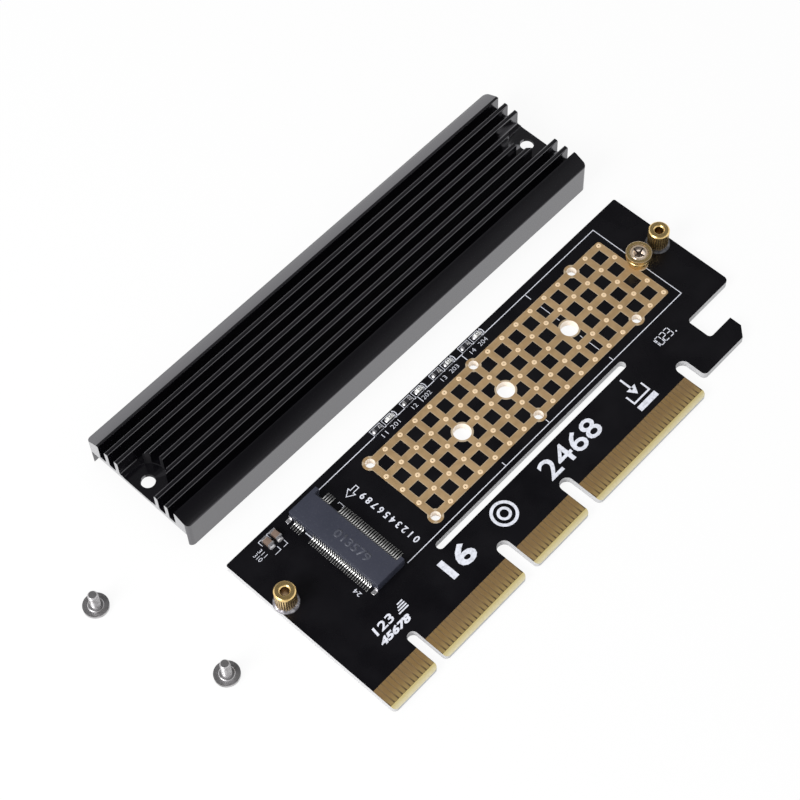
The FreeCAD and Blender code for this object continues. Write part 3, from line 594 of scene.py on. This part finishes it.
def stroke(work, points, width, closed=False):
    # a flat line of even width through the points, with mitred corners
    points = [Vector(point).to_2d() for point in points]
    count = len(points)
    sides = []
    for i, point in enumerate(points):
        before = points[i - 1] if closed or i else None
        after = points[(i + 1) % count] if closed or i < count - 1 else None
        ways = [end - start for start, end in ((before, point), (point, after)) if None not in (start, end)]
        ways = [way.normalized() for way in ways if way.length > 0]
        along = sum(ways, Vector((0, 0))).normalized()
        across = Vector((-along.y, along.x))
        reach = width / 2 / max(0.35, across.dot(Vector((-ways[0].y, ways[0].x))))
        sides.append([work.verts.new((*(point + across * reach * side), 0)) for side in (1, -1)])
    for i in range(count if closed else count - 1):
        a, b = sides[i], sides[(i + 1) % count]
        work.faces.new([a[1], b[1], b[0], a[0]])


def patch(work, points):
    work.faces.new([work.verts.new((*point, 0)) for point in points])


def circlePoints(x, y, radius, steps, start=0.0, span=360.0):
    turns = [math.radians(start + span * k / steps) for k in range(steps + (span < 360))]
    return [Vector((x, y)) + around(radius, turn).xy for turn in turns]


def writing(work, text, x, y, height, length, turn=0.0, lean=0.0, weight=0.0):
    # digits from the built-in font, their middle at (x, y), fitted to a length
    curve = bpy.data.curves.new("writing", "FONT")
    curve.body = text
    curve.size = 1.0
    curve.shear = lean
    curve.offset = weight
    curve.resolution_u = 3
    holder = bpy.data.objects.new("writing", curve)
    bpy.context.scene.collection.objects.link(holder)
    mesh = bpy.data.meshes.new_from_object(holder.evaluated_get(bpy.context.evaluated_depsgraph_get()))
    bpy.data.objects.remove(holder)
    low = Vector([min(v.co[i] for v in mesh.vertices) for i in range(2)])
    high = Vector([max(v.co[i] for v in mesh.vertices) for i in range(2)])
    wide, tall = length / (high.x - low.x), height / (high.y - low.y)
    middle = (low + high) / 2
    fitted = Matrix.Diagonal((wide, tall, 1, 1)) @ Matrix.Translation((-middle.x, -middle.y, 0))
    mesh.transform(Matrix.Translation((x, y, 0)) @ Matrix.Rotation(math.radians(turn), 4, "Z") @ fitted)
    work.from_mesh(mesh)


def sevenSegment(work, text, x, y, height, pitch, width):
    # digits of seven straight bars, the first one's middle at (x, y)
    lit = {"0": "abcdef", "1": "bc", "2": "abged", "3": "abgcd"}
    half, reach = height / 2, height * 0.27
    spots = {
        "a": ((-reach, half), (reach, half)), "g": ((-reach, 0), (reach, 0)),
        "d": ((-reach, -half), (reach, -half)), "f": ((-reach, half), (-reach, 0)),
        "b": ((reach, half), (reach, 0)), "e": ((-reach, 0), (-reach, -half)),
        "c": ((reach, 0), (reach, -half)),
    }
    for index, digit in enumerate(text):
        for bar in lit[digit]:
            (ax, ay), (bx, by) = spots[bar]
            gap = Vector((bx - ax, by - ay)).normalized() * width * 0.6
            place = Vector((x + index * pitch, y))
            stroke(work, [place + Vector((ax, ay)) + gap, place + Vector((bx, by)) - gap], width)


frameLook = {
    "edges": (21.85, 98.1, -10.6, 11.15), "stops": (48.1, 60.15, 78.15), "windowLine": 0.13,
    "windows": ((4.8, 7.2), (2.5, 3.2), (-3.2, -2.5), (-7.2, -4.8)),
    "arrow": {"tip": 24.15, "tail": 27.05, "y": 6.5, "stem": 0.36, "barb": 0.9},
}


def printFrame(work):
    left, right, low, high = frameLook["edges"]
    stroke(work, [(left, low), (right, low), (right, high), (left, high)], inkLook["line"])
    lastStop = frameLook["stops"][-1]
    for start, end in frameLook["windows"]:  # the last stop's line shows in the grid's windows
        stroke(work, [(lastStop, start), (lastStop, end)], frameLook["windowLine"])
    for x in frameLook["stops"]:
        for start, end in ((low, gridLow.y / mm - 0.1), (gridHigh.y / mm + 0.1, high)):
            stroke(work, [(x, start), (x, end)], inkLook["line"])
    tip, tail, y, stem, barb = frameLook["arrow"].values()
    neck = (tip + tail) / 2
    outline = [(tail, y + stem), (neck, y + stem), (neck, y + barb), (tip, y),
               (neck, y - barb), (neck, y - stem), (tail, y - stem)]
    stroke(work, outline, inkLook["line"], closed=True)


chipPrint = {  # places from each pair's own start, which steps along the card
    "start": 36.8, "pitch": 8.0, "label": 10.15, "height": 0.9, "weight": -0.012,
    "short": (1.5, 1.15), "long": ((4.3, 4.75, 4.3, 4.3), 2.1),  # each label's shift and its length
    "boxes": ((-0.1, 2.5), (3.0, 5.3)), "boxEdges": (11.12, 12.6),
    "arcs": ((5.1, 1.0, 10, 50, 0.2), (4.75, 0.95, 8, 35, 0.12)),  # place, radius, steps, half angle, width
    "corners": ((7.05, 8.8), (9.15, 10.5)), "cornerTop": (10.7, 11.8, 11.3), "cornerFoot": (7.85, 8.8, 0.35),
    "capacitors": (("311", 6.06, 9.75), ("310", 4.91, 9.72)), "capacitorSize": (0.95, 1.75),
}


def printChips(work):
    height, weight = chipPrint["height"], chipPrint["weight"]
    low, high = chipPrint["boxEdges"]
    for index in range(4):
        x = chipPrint["start"] + index * chipPrint["pitch"]
        for left, right in chipPrint["boxes"]:
            corners = [(x + left, low), (x + right, low), (x + right, high), (x + left, high)]
            stroke(work, corners, inkLook["box"], closed=True)
        for shift, radius, steps, half, width in chipPrint["arcs"]:
            stroke(work, circlePoints(x + shift, (low + high) / 2, radius, steps, -half, 2 * half), width)
        shift, length = chipPrint["short"]
        writing(work, f"{index + 11}", x + shift, chipPrint["label"], height, length, weight=weight)
        shifts, length = chipPrint["long"]
        writing(work, f"20{index + 1}", x + shifts[index], chipPrint["label"], height, length, weight=weight)
    start, top, drop = chipPrint["cornerTop"]
    foot, rise, inset = chipPrint["cornerFoot"]
    for left, right in chipPrint["corners"]:
        stroke(work, [(left, start), (left, top), (right, top), (right, drop)], inkLook["box"])
        stroke(work, [(left + inset, foot), (right, foot), (right, rise)], inkLook["box"])
    for text, x, y in chipPrint["capacitors"]:
        writing(work, text, x, y, *chipPrint["capacitorSize"], turn=-90, weight=weight)


markLook = {
    "words": (  # text, middle, height, length, turn, lean, weight
        ("0 1 2 3 4 5 6 7 8 9", 26.35, -2.1, 1.5, 13.9, 90, 0.0, 0.02),
        ("24", 11.7, -8.0, 0.9, 1.6, 90, 0.0, 0.0),
        ("123", 10.3, -15.5, 1.75, 4.6, 0, 0.1, 0.02), ("45678", 11.0, -17.75, 1.5, 7.4, 0, 0.25, 0.05),
        ("16", 28.4, -16.75, 4.4, 6.9, 0, 0.0, 0.03), ("2468", 58.6, -16.8, 4.3, 14.6, 0, 0.0, 0.012),
    ),
    "rings": ((2.35, 40, 0.6), (1.1, 28, 0.55)), "ringPlace": (40.6, -16.75),  # radius, steps, width
    "tick": ((14.1, 5.3), (14.1, 6.9)), "tickWidth": 0.22,
    "bracket": ((22.2, 6.7), (22.6, 6.7), (22.55, 5.5), (22.0, 5.5)),
    "bars": {"left": 13.6, "right": 16.0, "foot": -16.2, "inset": 0.35, "pitch": 0.5, "width": 0.26},
    "date": ("1023", 85.9, -14.3, 1.85, 1.28, 0.17), "dot": (90.9, -15.2, 0.16), "tray": (75.65, -14.3),
}


def printMarks(work):
    for text, x, y, height, length, turn, lean, weight in markLook["words"]:
        writing(work, text, x, y, height, length, turn, lean, weight)
    stroke(work, markLook["tick"], markLook["tickWidth"])
    stroke(work, markLook["bracket"], inkLook["box"])
    left, right, foot, inset, pitch, width = markLook["bars"].values()
    for row in range(4):  # a plain stack of bars
        stroke(work, [(left + row * inset, foot + row * pitch), (right, foot + row * pitch)], width)
    for radius, steps, width in markLook["rings"]:
        stroke(work, circlePoints(*markLook["ringPlace"], radius, steps), width, closed=True)
    printTray(work)
    sevenSegment(work, *markLook["date"])
    patch(work, circlePoints(*markLook["dot"], 10))


def printTray(work):  # a plain sign: an arrow into a tray, over a bar
    x, top = markLook["tray"]
    tray = ((-2.1, -3.2), (-2.1, -5.2), (2.1, -5.2), (2.1, -3.2))
    barb = ((-1.15, -2.5), (0, -4.3), (1.15, -2.5))
    bar = ((-2.45, -7.25), (2.45, -7.25), (2.45, -6.05), (-2.45, -6.05))
    stroke(work, [(x + across, top + down) for across, down in tray], 0.36)
    stroke(work, [(x, top), (x, top - 3.0)], 0.42)
    for outline in (barb, bar):
        patch(work, [(x + across, top + down) for across, down in outline])


def boardPrint():  # drawn in millimetres from the socket end of the card and from the drive line
    origin = Vector((boardLow.x, 0, boardTop + inkLook["lift"] * mm))
    for name, draw in (("printFrame", printFrame), ("printChips", printChips), ("printMarks", printMarks)):
        work = bmesh.new()
        draw(work)
        bmesh.ops.transform(work, matrix=Matrix.Translation(origin) @ Matrix.Scale(mm, 4), verts=work.verts)
        for face in work.faces:
            if face.normal.z < 0:
                face.normal_flip()
        piece(name, meshOf(name, work), ["printInk"])


# The drive socket

socketLook = {
    "pitch": 0.5, "padWidth": 0.21, "padHeight": 0.03,
    "rearPad": {"start": -0.75, "length": 1.3, "first": 9.25, "places": (*range(29), *range(33, 38))},
    "frontPad": {"start": 7.9, "length": 1.0, "first": 9.0, "places": (*range(29), *range(33, 37))},
    "digitsRise": 0.035, "digitsPlace": (2.74, -2.15), "digitsSize": (1.85, 8.3),
    "edge": 0.06, "tabEdge": 0.05,
}
socketMiddle = (socketLow.y + socketHigh.y) / 2


def driveSocket():
    refined("driveSocket", "m2_socket_housing", ["slatePlastic"], socketLook["edge"])
    for row in ("rear", "front"):
        # faces turned along the row take the painted flank shade
        refined(f"socketContacts.{row}", f"socket_contacts_{row}", ["tinnedContact", "contactFlank"],
                mark=lambda face: 1 if abs(face.normal.y) > 0.6 else 0)
    for index in (1, 2):
        node = f"socket_hold_down_{index}"
        refined(f"socketTab.{index}", node, ["solderMetal"], socketLook["tabEdge"])


def socketPads():
    pitch, thick = socketLook["pitch"] * mm, socketLook["padHeight"] * mm
    for key in ("rearPad", "frontPad"):
        start, length, first, places = socketLook[key].values()
        work = bmesh.new()
        bmesh.ops.create_cube(work, size=1.0)
        size = (length * mm, socketLook["padWidth"] * mm, thick, 1)
        bmesh.ops.transform(work, matrix=Matrix.Diagonal(size), verts=work.verts)
        bmesh.ops.bevel(work, geom=work.edges, offset=0.008 * mm, segments=1, affect="EDGES")
        x, y = socketLow.x + start * mm, socketMiddle - first * mm
        points = [Vector((x, y + pitch * place, boardTop + thick / 2)) for place in places]
        name = f"socket{key[0].upper()}{key[1:]}s"
        scatter(name, points, meshOf(key, work), "tinnedContact")


def socketDigits():  # plain moulded digits on the socket's top
    work = bmesh.new()
    writing(work, "013579", 0, 0, *socketLook["digitsSize"], turn=-90, weight=0.03)
    made = meshOf("socketDigits", work)
    x, y = socketLook["digitsPlace"]
    place = Vector((socketLow.x + x * mm, socketMiddle + y * mm, socketHigh.z))
    made.transform(Matrix.Translation(place) @ Matrix.Scale(mm, 4))
    digits = piece("socketDigits", made, ["rubbedSlate"])
    solid = digits.modifiers.new("rise", "SOLIDIFY")
    solid.thickness = socketLook["digitsRise"] * mm
    solid.offset = 1.0


# Turned parts

turnedLook = {
    "groove": 0.14, "crest": 0.008, "root": 0.003, "steps": 56, "bore": 0.95, "tooth": 0.06,
    "edge": 0.03, "postEdge": 0.05, "edgeAngle": 28.0,
    "coverFace": (1.12, 1.72), "driveFace": (1.86, 2.42),
}


def turningMarks(work, centre, inner, outer):  # fine grooves left by the lathe on a level face
    count = 2 * max(2, round((outer - inner) / turnedLook["groove"]))
    profile = []
    for step in range(count + 1):
        radius = outer - (outer - inner) * step / count
        profile.append((radius * mm, turnedLook["crest" if step % 2 else "root"] * mm))
    turnedWall(work, profile, turnedLook["steps"], centre)


def boreOf(node, bore, teeth):  # marks the bore, and the grooves between the knurl's teeth, for painted shade
    axis = middleOf(node, 0)

    def mark(face):
        reach = (face.center - axis).xy.length / mm
        if abs(face.normal.z) > 0.5:
            return 0
        if reach < bore:
            return 1
        return 2 if reach < teeth else 0

    return mark


def turnedParts():
    marks = bmesh.new()
    for end in ("socket_end", "hook_end"):
        node = f"cover_standoff_{end}"
        low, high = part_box(node)
        teeth = (high.x - low.x) / mm / 2 - turnedLook["tooth"]
        # the bore and the knurl's grooves take painted shade
        finishes = ["turnedBrass", "darkBore", "knurlGroove"]
        refined(f"coverStandoff.{end}", node, finishes, turnedLook["edge"], 2,
                turnedLook["edgeAngle"], boreOf(node, turnedLook["bore"], teeth))
        turningMarks(marks, middleOf(node, high.z), *turnedLook["coverFace"])
    node = "m2_standoff"
    # its upward faces take the painted sheen
    refined("drivePost", node, ["turnedBrass", "paleBrass"], turnedLook["postEdge"], 2,
            turnedLook["edgeAngle"], lambda face: 1 if face.normal.z > 0.9 else 0)
    turningMarks(marks, middleOf(node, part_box(node)[1].z), *turnedLook["driveFace"])
    piece("turningMarks", meshOf("turningMarks", marks), ["turnedBrass"])
    driveScrew()


def cutAbove(work, level):  # leaves the part below the level, with its top closed
    bmesh.ops.delete(work, geom=[vert for vert in work.verts if vert.co.z > level], context="VERTS")
    bmesh.ops.holes_fill(work, edges=work.edges)


driveLook = {"head": 1.69, "edge": 0.05, "height": 0.68, "mouth": 1.3, "dish": 0.42, "cross": 0.66}


def driveScrew():
    # four sloping flanks stand between the arms of a deep cross, inside a flat rim
    node = "m2_screw"
    centre = middleOf(node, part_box(node)[1].z)
    head, edge, height, mouth, dish, cross = (value * mm for value in driveLook.values())
    steps = 48
    step = 2 * math.pi / steps
    half = mouth * math.sin(step)  # of an arm's width
    work = bmesh.new()
    profile = [(head, -height), (head, -edge), (head - edge, 0.0), (mouth, 0.0)]
    turnedWall(work, profile, steps, centre)
    for face in work.faces:  # the level rim round the mouth, which takes the painted sheen
        face.material_index = 2 if face.calc_center_median().z > centre.z - 1e-5 else 0

    def facet(index, points):
        made = work.faces.new([work.verts.new(centre + point) for point in points])
        made.material_index = index

    for quarter in range(4):
        turn = Matrix.Rotation(quarter * math.pi / 2, 3, "Z")
        rim = [turn @ around(mouth, k * step) for k in range(-1, steps // 4)]
        inner = turn @ Vector((half, half, -dish))
        deep = turn @ Vector((half, half, -cross))
        other = turn @ Vector((half, -half, -cross))
        for first, second in zip(rim[2:], rim[3:]):
            facet(0, [inner, first, second])
        facet(1, [deep, rim[2], inner])
        facet(1, [deep, inner, rim[-1]])
        facet(1, [other, rim[0], rim[1], rim[2], deep])
    facet(1, [Vector((a * half, b * half, -cross)) for a, b in squareCorners])
    bmesh.ops.remove_doubles(work, verts=work.verts, dist=1e-7)
    bmesh.ops.holes_fill(work, edges=work.edges)
    shank = bmesh.new()
    shank.from_mesh(merged(node))
    cutAbove(shank, centre.z - height)
    work.from_mesh(meshOf("shank", shank))
    bmesh.ops.recalc_face_normals(work, faces=work.faces)
    made = meshOf("driveScrew", work, 25)
    finishes = [face.material_index for face in made.polygons]
    piece("driveScrew", made, ["nickelScrew", "crossShade", "paleBrass"], [node])
    made.polygons.foreach_set("material_index", finishes)


solderLook = {
    "lumps": ((3, 0.16, 0.7), (5, 0.11, 2.1), (8, 0.07, 4.4)), "steps": 72, "inner": 1.9, "inset": 0.12,
    "profile": ((1.06, 0.0), (1.0, 0.16), (0.78, 0.5), (0.42, 0.78), (0.0, 1.1)),
}


def solderFoot(end, finish):  # an uneven ring of solder that climbs the knurl
    node = f"solder_ring_{end}"
    low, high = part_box(node)
    centre = middleOf(node, low.z)
    outer, inner = (high.x - low.x) / 2 - solderLook["inset"] * mm, solderLook["inner"] * mm
    work = bmesh.new()
    rings = []
    for part, rise in solderLook["profile"]:
        ring = []
        for k in range(solderLook["steps"]):
            turn = 2 * math.pi * k / solderLook["steps"]
            swell = sum(size * math.sin(count * turn + start) for count, size, start in solderLook["lumps"])
            radius = inner + (outer - inner) * part * (1 + 0.35 * swell)
            height = (high.z - low.z) * rise * (1 + 1.6 * swell)
            ring.append(work.verts.new(centre + around(radius, turn, height)))
        rings.append(ring)
    joinRings(work, rings, solderLook["steps"])
    piece(f"solderFoot.{end}", meshOf("solderFoot", work, 60), [finish], [node])


screwLook = {
    "pitch": 0.4, "depth": 0.17, "radius": 0.95, "taper": 0.3, "steps": 40, "rows": 10, "sunk": 0.05,
    "head": 0.8, "rim": 2.3, "collar": ((1.5, 0.0), (1.44, 0.1), (1.3, 0.16), (0.85, 0.18)),
}


def looseScrew(index):
    # the CAD head, with its cross recess, carries a shank with a real thread
    node = f"cover_screw_{index}"
    low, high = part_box(node)
    middle = middleOf(node, 0)
    headTop, sunk = low.z + screwLook["head"] * mm, screwLook["sunk"] * mm
    work = bmesh.new()
    work.from_mesh(merged(node))
    cutAbove(work, headTop + 1e-5)
    shank = threadedShank(f"shank{index}", high.z - headTop + sunk)
    shank.transform(Matrix.Translation(middle + Vector((0, 0, (high.z + headTop - sunk) / 2))))
    work.from_mesh(shank)
    collar = screwLook["collar"]
    turnedWall(work, [(radius * mm, headTop + height * mm) for radius, height in collar], 48, middle)
    turningMarks(work, middle + Vector((0, 0, headTop)), collar[0][0], screwLook["rim"])
    made = meshOf(f"looseScrew{index}", work, 28)
    piece(f"looseScrew.{index}", made, ["turnedSteel"], [node])


def threadedShank(name, length):  # a column whose wall is pulled in along a helix, and at both ends
    def build(graph, given):
        values = {"Vertices": given["Steps"], "Side Segments": given["Rows"], "Radius": given["Radius"]}
        values["Depth"] = given["Length"]
        column = graph.add("GeometryNodeMeshCylinder", {"fill_type": "NGON"}, values, "Mesh")
        place = graph.add("GeometryNodeInputPosition")
        x, y, z = (graph.axis(place, k) for k in range(3))
        perTurn, half = given["Pitch"] ** -1.0, given["Length"] * 0.5
        turn = y.math("ARCTAN2", y, x) * (0.5 / math.pi)
        phase = z.math("FRACT", z * perTurn - turn)
        flank = z.math("ABSOLUTE", phase * 2.0 - 1.0) * 1.5
        root = 1 - z.math("MINIMUM", flank, 1.0)
        foot = z.math("MINIMUM", (z + half) * perTurn, 1.0)
        fade = z.math("MINIMUM", (half - z) * perTurn + 0.25, foot)
        inward = (root * fade * given["Depth"] + (1 - fade) * given["Taper"]) * given["Radius"] ** -1.0
        flat = graph.add("ShaderNodeCombineXYZ", values={"X": x, "Y": y})
        values = {"Vector": flat, "Scale": inward * -1.0}
        offset = graph.add("ShaderNodeVectorMath", {"operation": "SCALE"}, values)
        return graph.add("GeometryNodeSetPosition", values={"Geometry": column, "Offset": offset})

    rows = round(length / (screwLook["pitch"] * mm) * screwLook["rows"])
    inputs = {"Steps": ("Int", screwLook["steps"]), "Rows": ("Int", rows), "Length": ("Float", length)}
    for key in ("Radius", "Pitch", "Depth", "Taper"):
        inputs[key] = ("Float", screwLook[key.lower()] * mm)
    return grown(name, [], "turnedSteel", inputs, build)


# Small parts on the card

chipLook = {
    "edge": 0.04, "capacitorEdge": 0.08, "resistorEnd": 0.36, "lampEnd": 0.3, "capacitorEnd": 0.36,
    "frame": 0.3, "frameInside": 0.6, "frameLift": 0.006, "fillet": 0.3, "capacitorFillet": 0.4,
}


def smallParts():
    for index in range(1, 5):
        refined(f"resistor.{index}", f"resistor_{index}", ["resistorFilm", "solderMetal"],
                chipLook["edge"], mark=endsOf(f"resistor_{index}", 0, chipLook["resistorEnd"]))
        refined(f"lamp.{index}", f"led_{index}", ["lampResin", "solderMetal"],
                chipLook["edge"], mark=endsOf(f"led_{index}", 0, chipLook["lampEnd"]))
    for index in (1, 2):
        refined(f"capacitor.{index}", f"capacitor_{index}", ["ceramic", "solderMetal"],
                chipLook["capacitorEdge"], mark=endsOf(f"capacitor_{index}", 1, chipLook["capacitorEnd"]))


def lampFrames():  # the dark square seen through each clear lamp
    work = bmesh.new()
    for index in range(1, 5):
        low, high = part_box(f"led_{index}")
        centre, top = (low + high) / 2, high.z + chipLook["frameLift"] * mm
        rings = []
        for half in (chipLook["frame"] * mm, chipLook["frame"] * chipLook["frameInside"] * mm):
            points = [(centre.x + a * half, centre.y + b * half, top) for a, b in squareCorners]
            rings.append([work.verts.new(point) for point in points])
        joinRings(work, rings, 4)
    piece("lampFrames", meshOf("lampFrames", work), ["resistorFilm"])


def endsOf(node, axis, reach):  # marks the soldered ends of a chip
    low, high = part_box(node)

    def mark(face):
        place = face.center[axis]
        return 1 if min(place - low[axis], high[axis] - place) < reach * mm else 0

    return mark


def chipSolder():  # a pad and a solder fillet at each end of each chip
    work = bmesh.new()
    for index in range(1, 5):
        for node in (f"resistor_{index}", f"led_{index}"):
            low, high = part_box(node)
            for x, way in ((low.x, -1), (high.x, 1)):
                corner, out, along = Vector((x, low.y, boardTop)), Vector((way, 0, 0)), Vector((0, 1, 0))
                fillet(work, corner, out, along, high.y - low.y, chipLook["fillet"])
    for index in (1, 2):
        low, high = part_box(f"capacitor_{index}")
        for y, way in ((low.y, -1), (high.y, 1)):
            corner, out, along = Vector((low.x, y, boardTop)), Vector((0, way, 0)), Vector((1, 0, 0))
            fillet(work, corner, out, along, high.x - low.x, chipLook["capacitorFillet"])
    bmesh.ops.recalc_face_normals(work, faces=work.faces)
    piece("chipSolder", meshOf("chipSolder", work, 40), ["solderMetal"])


def fillet(work, corner, out, along, width, height):  # its section is drawn in parts of the height
    section = ((0.0, 0.0), (1.15, 0.0), (0.62, 0.25), (0.25, 0.6), (0.0, 1.0))
    up = Vector((0, 0, 1))
    rows = []
    for step, scale in ((0.02, 0.6), (0.15, 1.0), (0.85, 1.0), (0.98, 0.6)):
        start, size = corner + along * width * step, height * mm * scale
        rows.append([work.verts.new(start + (out * a + up * b) * size) for a, b in section])
    joinRings(work, rows, len(section))
    work.faces.new(rows[0])
    work.faces.new(rows[-1])


# The finned cover

coverLook = {"edge": 0.04, "edgeAngle": 25.0, "sawnWithin": 0.6, "milledBeyond": 1.0}


def finnedCover():
    low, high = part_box("heatsink")

    def cutFace(face):  # 1 at the sawn ends, partly lit by a painted reflection, 2 where the fins are milled away round a screw hole
        reach, slope = min(face.center.x - low.x, high.x - face.center.x) / mm, abs(face.normal.x)
        if slope > 0.98 and reach < coverLook["sawnWithin"]:
            return 1
        return 2 if slope > 0.4 and reach > coverLook["milledBeyond"] else 0

    refined("finnedCover", "heatsink", ["blackAnodised", "sawnEnd", "milledWall"],
            coverLook["edge"], 1, coverLook["edgeAngle"], cutFace)


cardBoard()
vias()
sleeves()
print("card made")
boardPrint()
print("print made")
driveSocket()
socketPads()
socketDigits()
turnedParts()
solderFoot("socket_end", "moundSolder")
solderFoot("hook_end", "dullSolder")
looseScrew(1)
looseScrew(2)
smallParts()
lampFrames()
chipSolder()
finnedCover()
print("pieces made")


# Floor, light and camera

stageLook = {"floor": 1.2, "floorTone": 0.86, "white": 0.9, "drop": 0.01}


def floorAndBackdrop():
    side = stageLook["floor"]
    work = bmesh.new()
    patch(work, [(a * side, b * side) for a, b in squareCorners])
    made = bpy.data.objects.new("floor", meshOf("floor", work))
    bpy.context.scene.collection.objects.link(made)
    made.location.z = -stageLook["drop"] * mm
    finish = bpy.data.materials.new("floor")
    finish.use_nodes = True
    graph = Graph(finish.node_tree)
    graph.tree.nodes.remove(graph.tree.nodes["Principled BSDF"])
    plain = graph.add("ShaderNodeBsdfDiffuse", values={"Color": (*grey(stageLook["floorTone"]), 1)})
    bright = graph.add("ShaderNodeEmission", values={"Color": (1, 1, 1, 1), "Strength": 1.0})
    camera = graph.add("ShaderNodeLightPath")
    seen = camera + graph.add("ShaderNodeLightPath", output=3)  # by the camera or mirrored in the part
    both = graph.add("ShaderNodeMixShader", values=[seen * stageLook["white"], plain, bright])
    graph.tree.links.new(both.socket, graph.tree.nodes["Material Output"].inputs["Surface"])
    made.data.materials.append(finish)


lightLook = {
    "ambient": 0.70, "glow": 1.15, "glowTop": 0.34, "shoulder": 0.10, "shoulderFoot": 0.66,
    "overhead": 0.02, "crown": 0.86, "crownBlur": 0.06,
    "key": 2.9, "keyPlace": (-0.50, 0.06, 0.36), "keySize": 0.30,
}


def studioWorld():  # a bright band all round, dark overhead, so that level black faces stay black
    world = bpy.data.worlds.new("studio")
    bpy.context.scene.world = world
    world.use_nodes = True
    graph = Graph(world.node_tree)
    height = graph.axis(graph.add("ShaderNodeTexCoord", output=0), 2)
    middle = (lightLook["glowTop"] + lightLook["shoulderFoot"]) / 2
    overhead = height.over(middle, (lightLook["shoulderFoot"] - lightLook["glowTop"]) / 2)
    crown = height.over(lightLook["crown"], lightLook["crownBlur"])
    upper = graph.blend(crown, grey(lightLook["shoulder"]), grey(lightLook["overhead"]))
    mirrored = graph.blend(overhead, grey(lightLook["glow"]), upper)
    glossy = graph.add("ShaderNodeLightPath", output=3)
    camera = graph.add("ShaderNodeLightPath", output=0)
    soft = graph.blend(glossy, grey(lightLook["ambient"]), mirrored)
    tone = graph.blend(camera, soft, grey(1.0))
    background = graph.tree.nodes["Background"]
    graph.tree.links.new(tone.socket, background.inputs["Color"])


def keyLamp():
    lamp = bpy.data.lights.new("key", "AREA")
    lamp.energy = lightLook["key"]
    lamp.size = lightLook["keySize"]
    made = bpy.data.objects.new("key", lamp)
    made.location = lightLook["keyPlace"]
    made.rotation_euler = (-Vector(lightLook["keyPlace"])).to_track_quat("-Z", "Y").to_euler()
    bpy.context.scene.collection.objects.link(made)


cameraLook = {
    "place": (-0.14944, -0.13064, 0.34217), "aim": (-0.00694, 0.01372, 0.0), "roll": -3.015, "lens": 96.84,
}


def studioCamera():
    lens = bpy.data.cameras.new("camera")
    lens.lens = cameraLook["lens"]
    lens.clip_start = 0.01
    made = bpy.data.objects.new("camera", lens)
    bpy.context.scene.collection.objects.link(made)
    place, aim = Vector(cameraLook["place"]), Vector(cameraLook["aim"])
    made.location = place
    level = (aim - place).to_track_quat("-Z", "Y").to_matrix()
    made.rotation_euler = (level @ Matrix.Rotation(math.radians(cameraLook["roll"]), 3, "Z")).to_euler()
    bpy.context.scene.camera = made


floorAndBackdrop()
studioWorld()
keyLamp()
studioCamera()
bpy.context.scene.view_settings.view_transform = "Standard"
print("stage made")
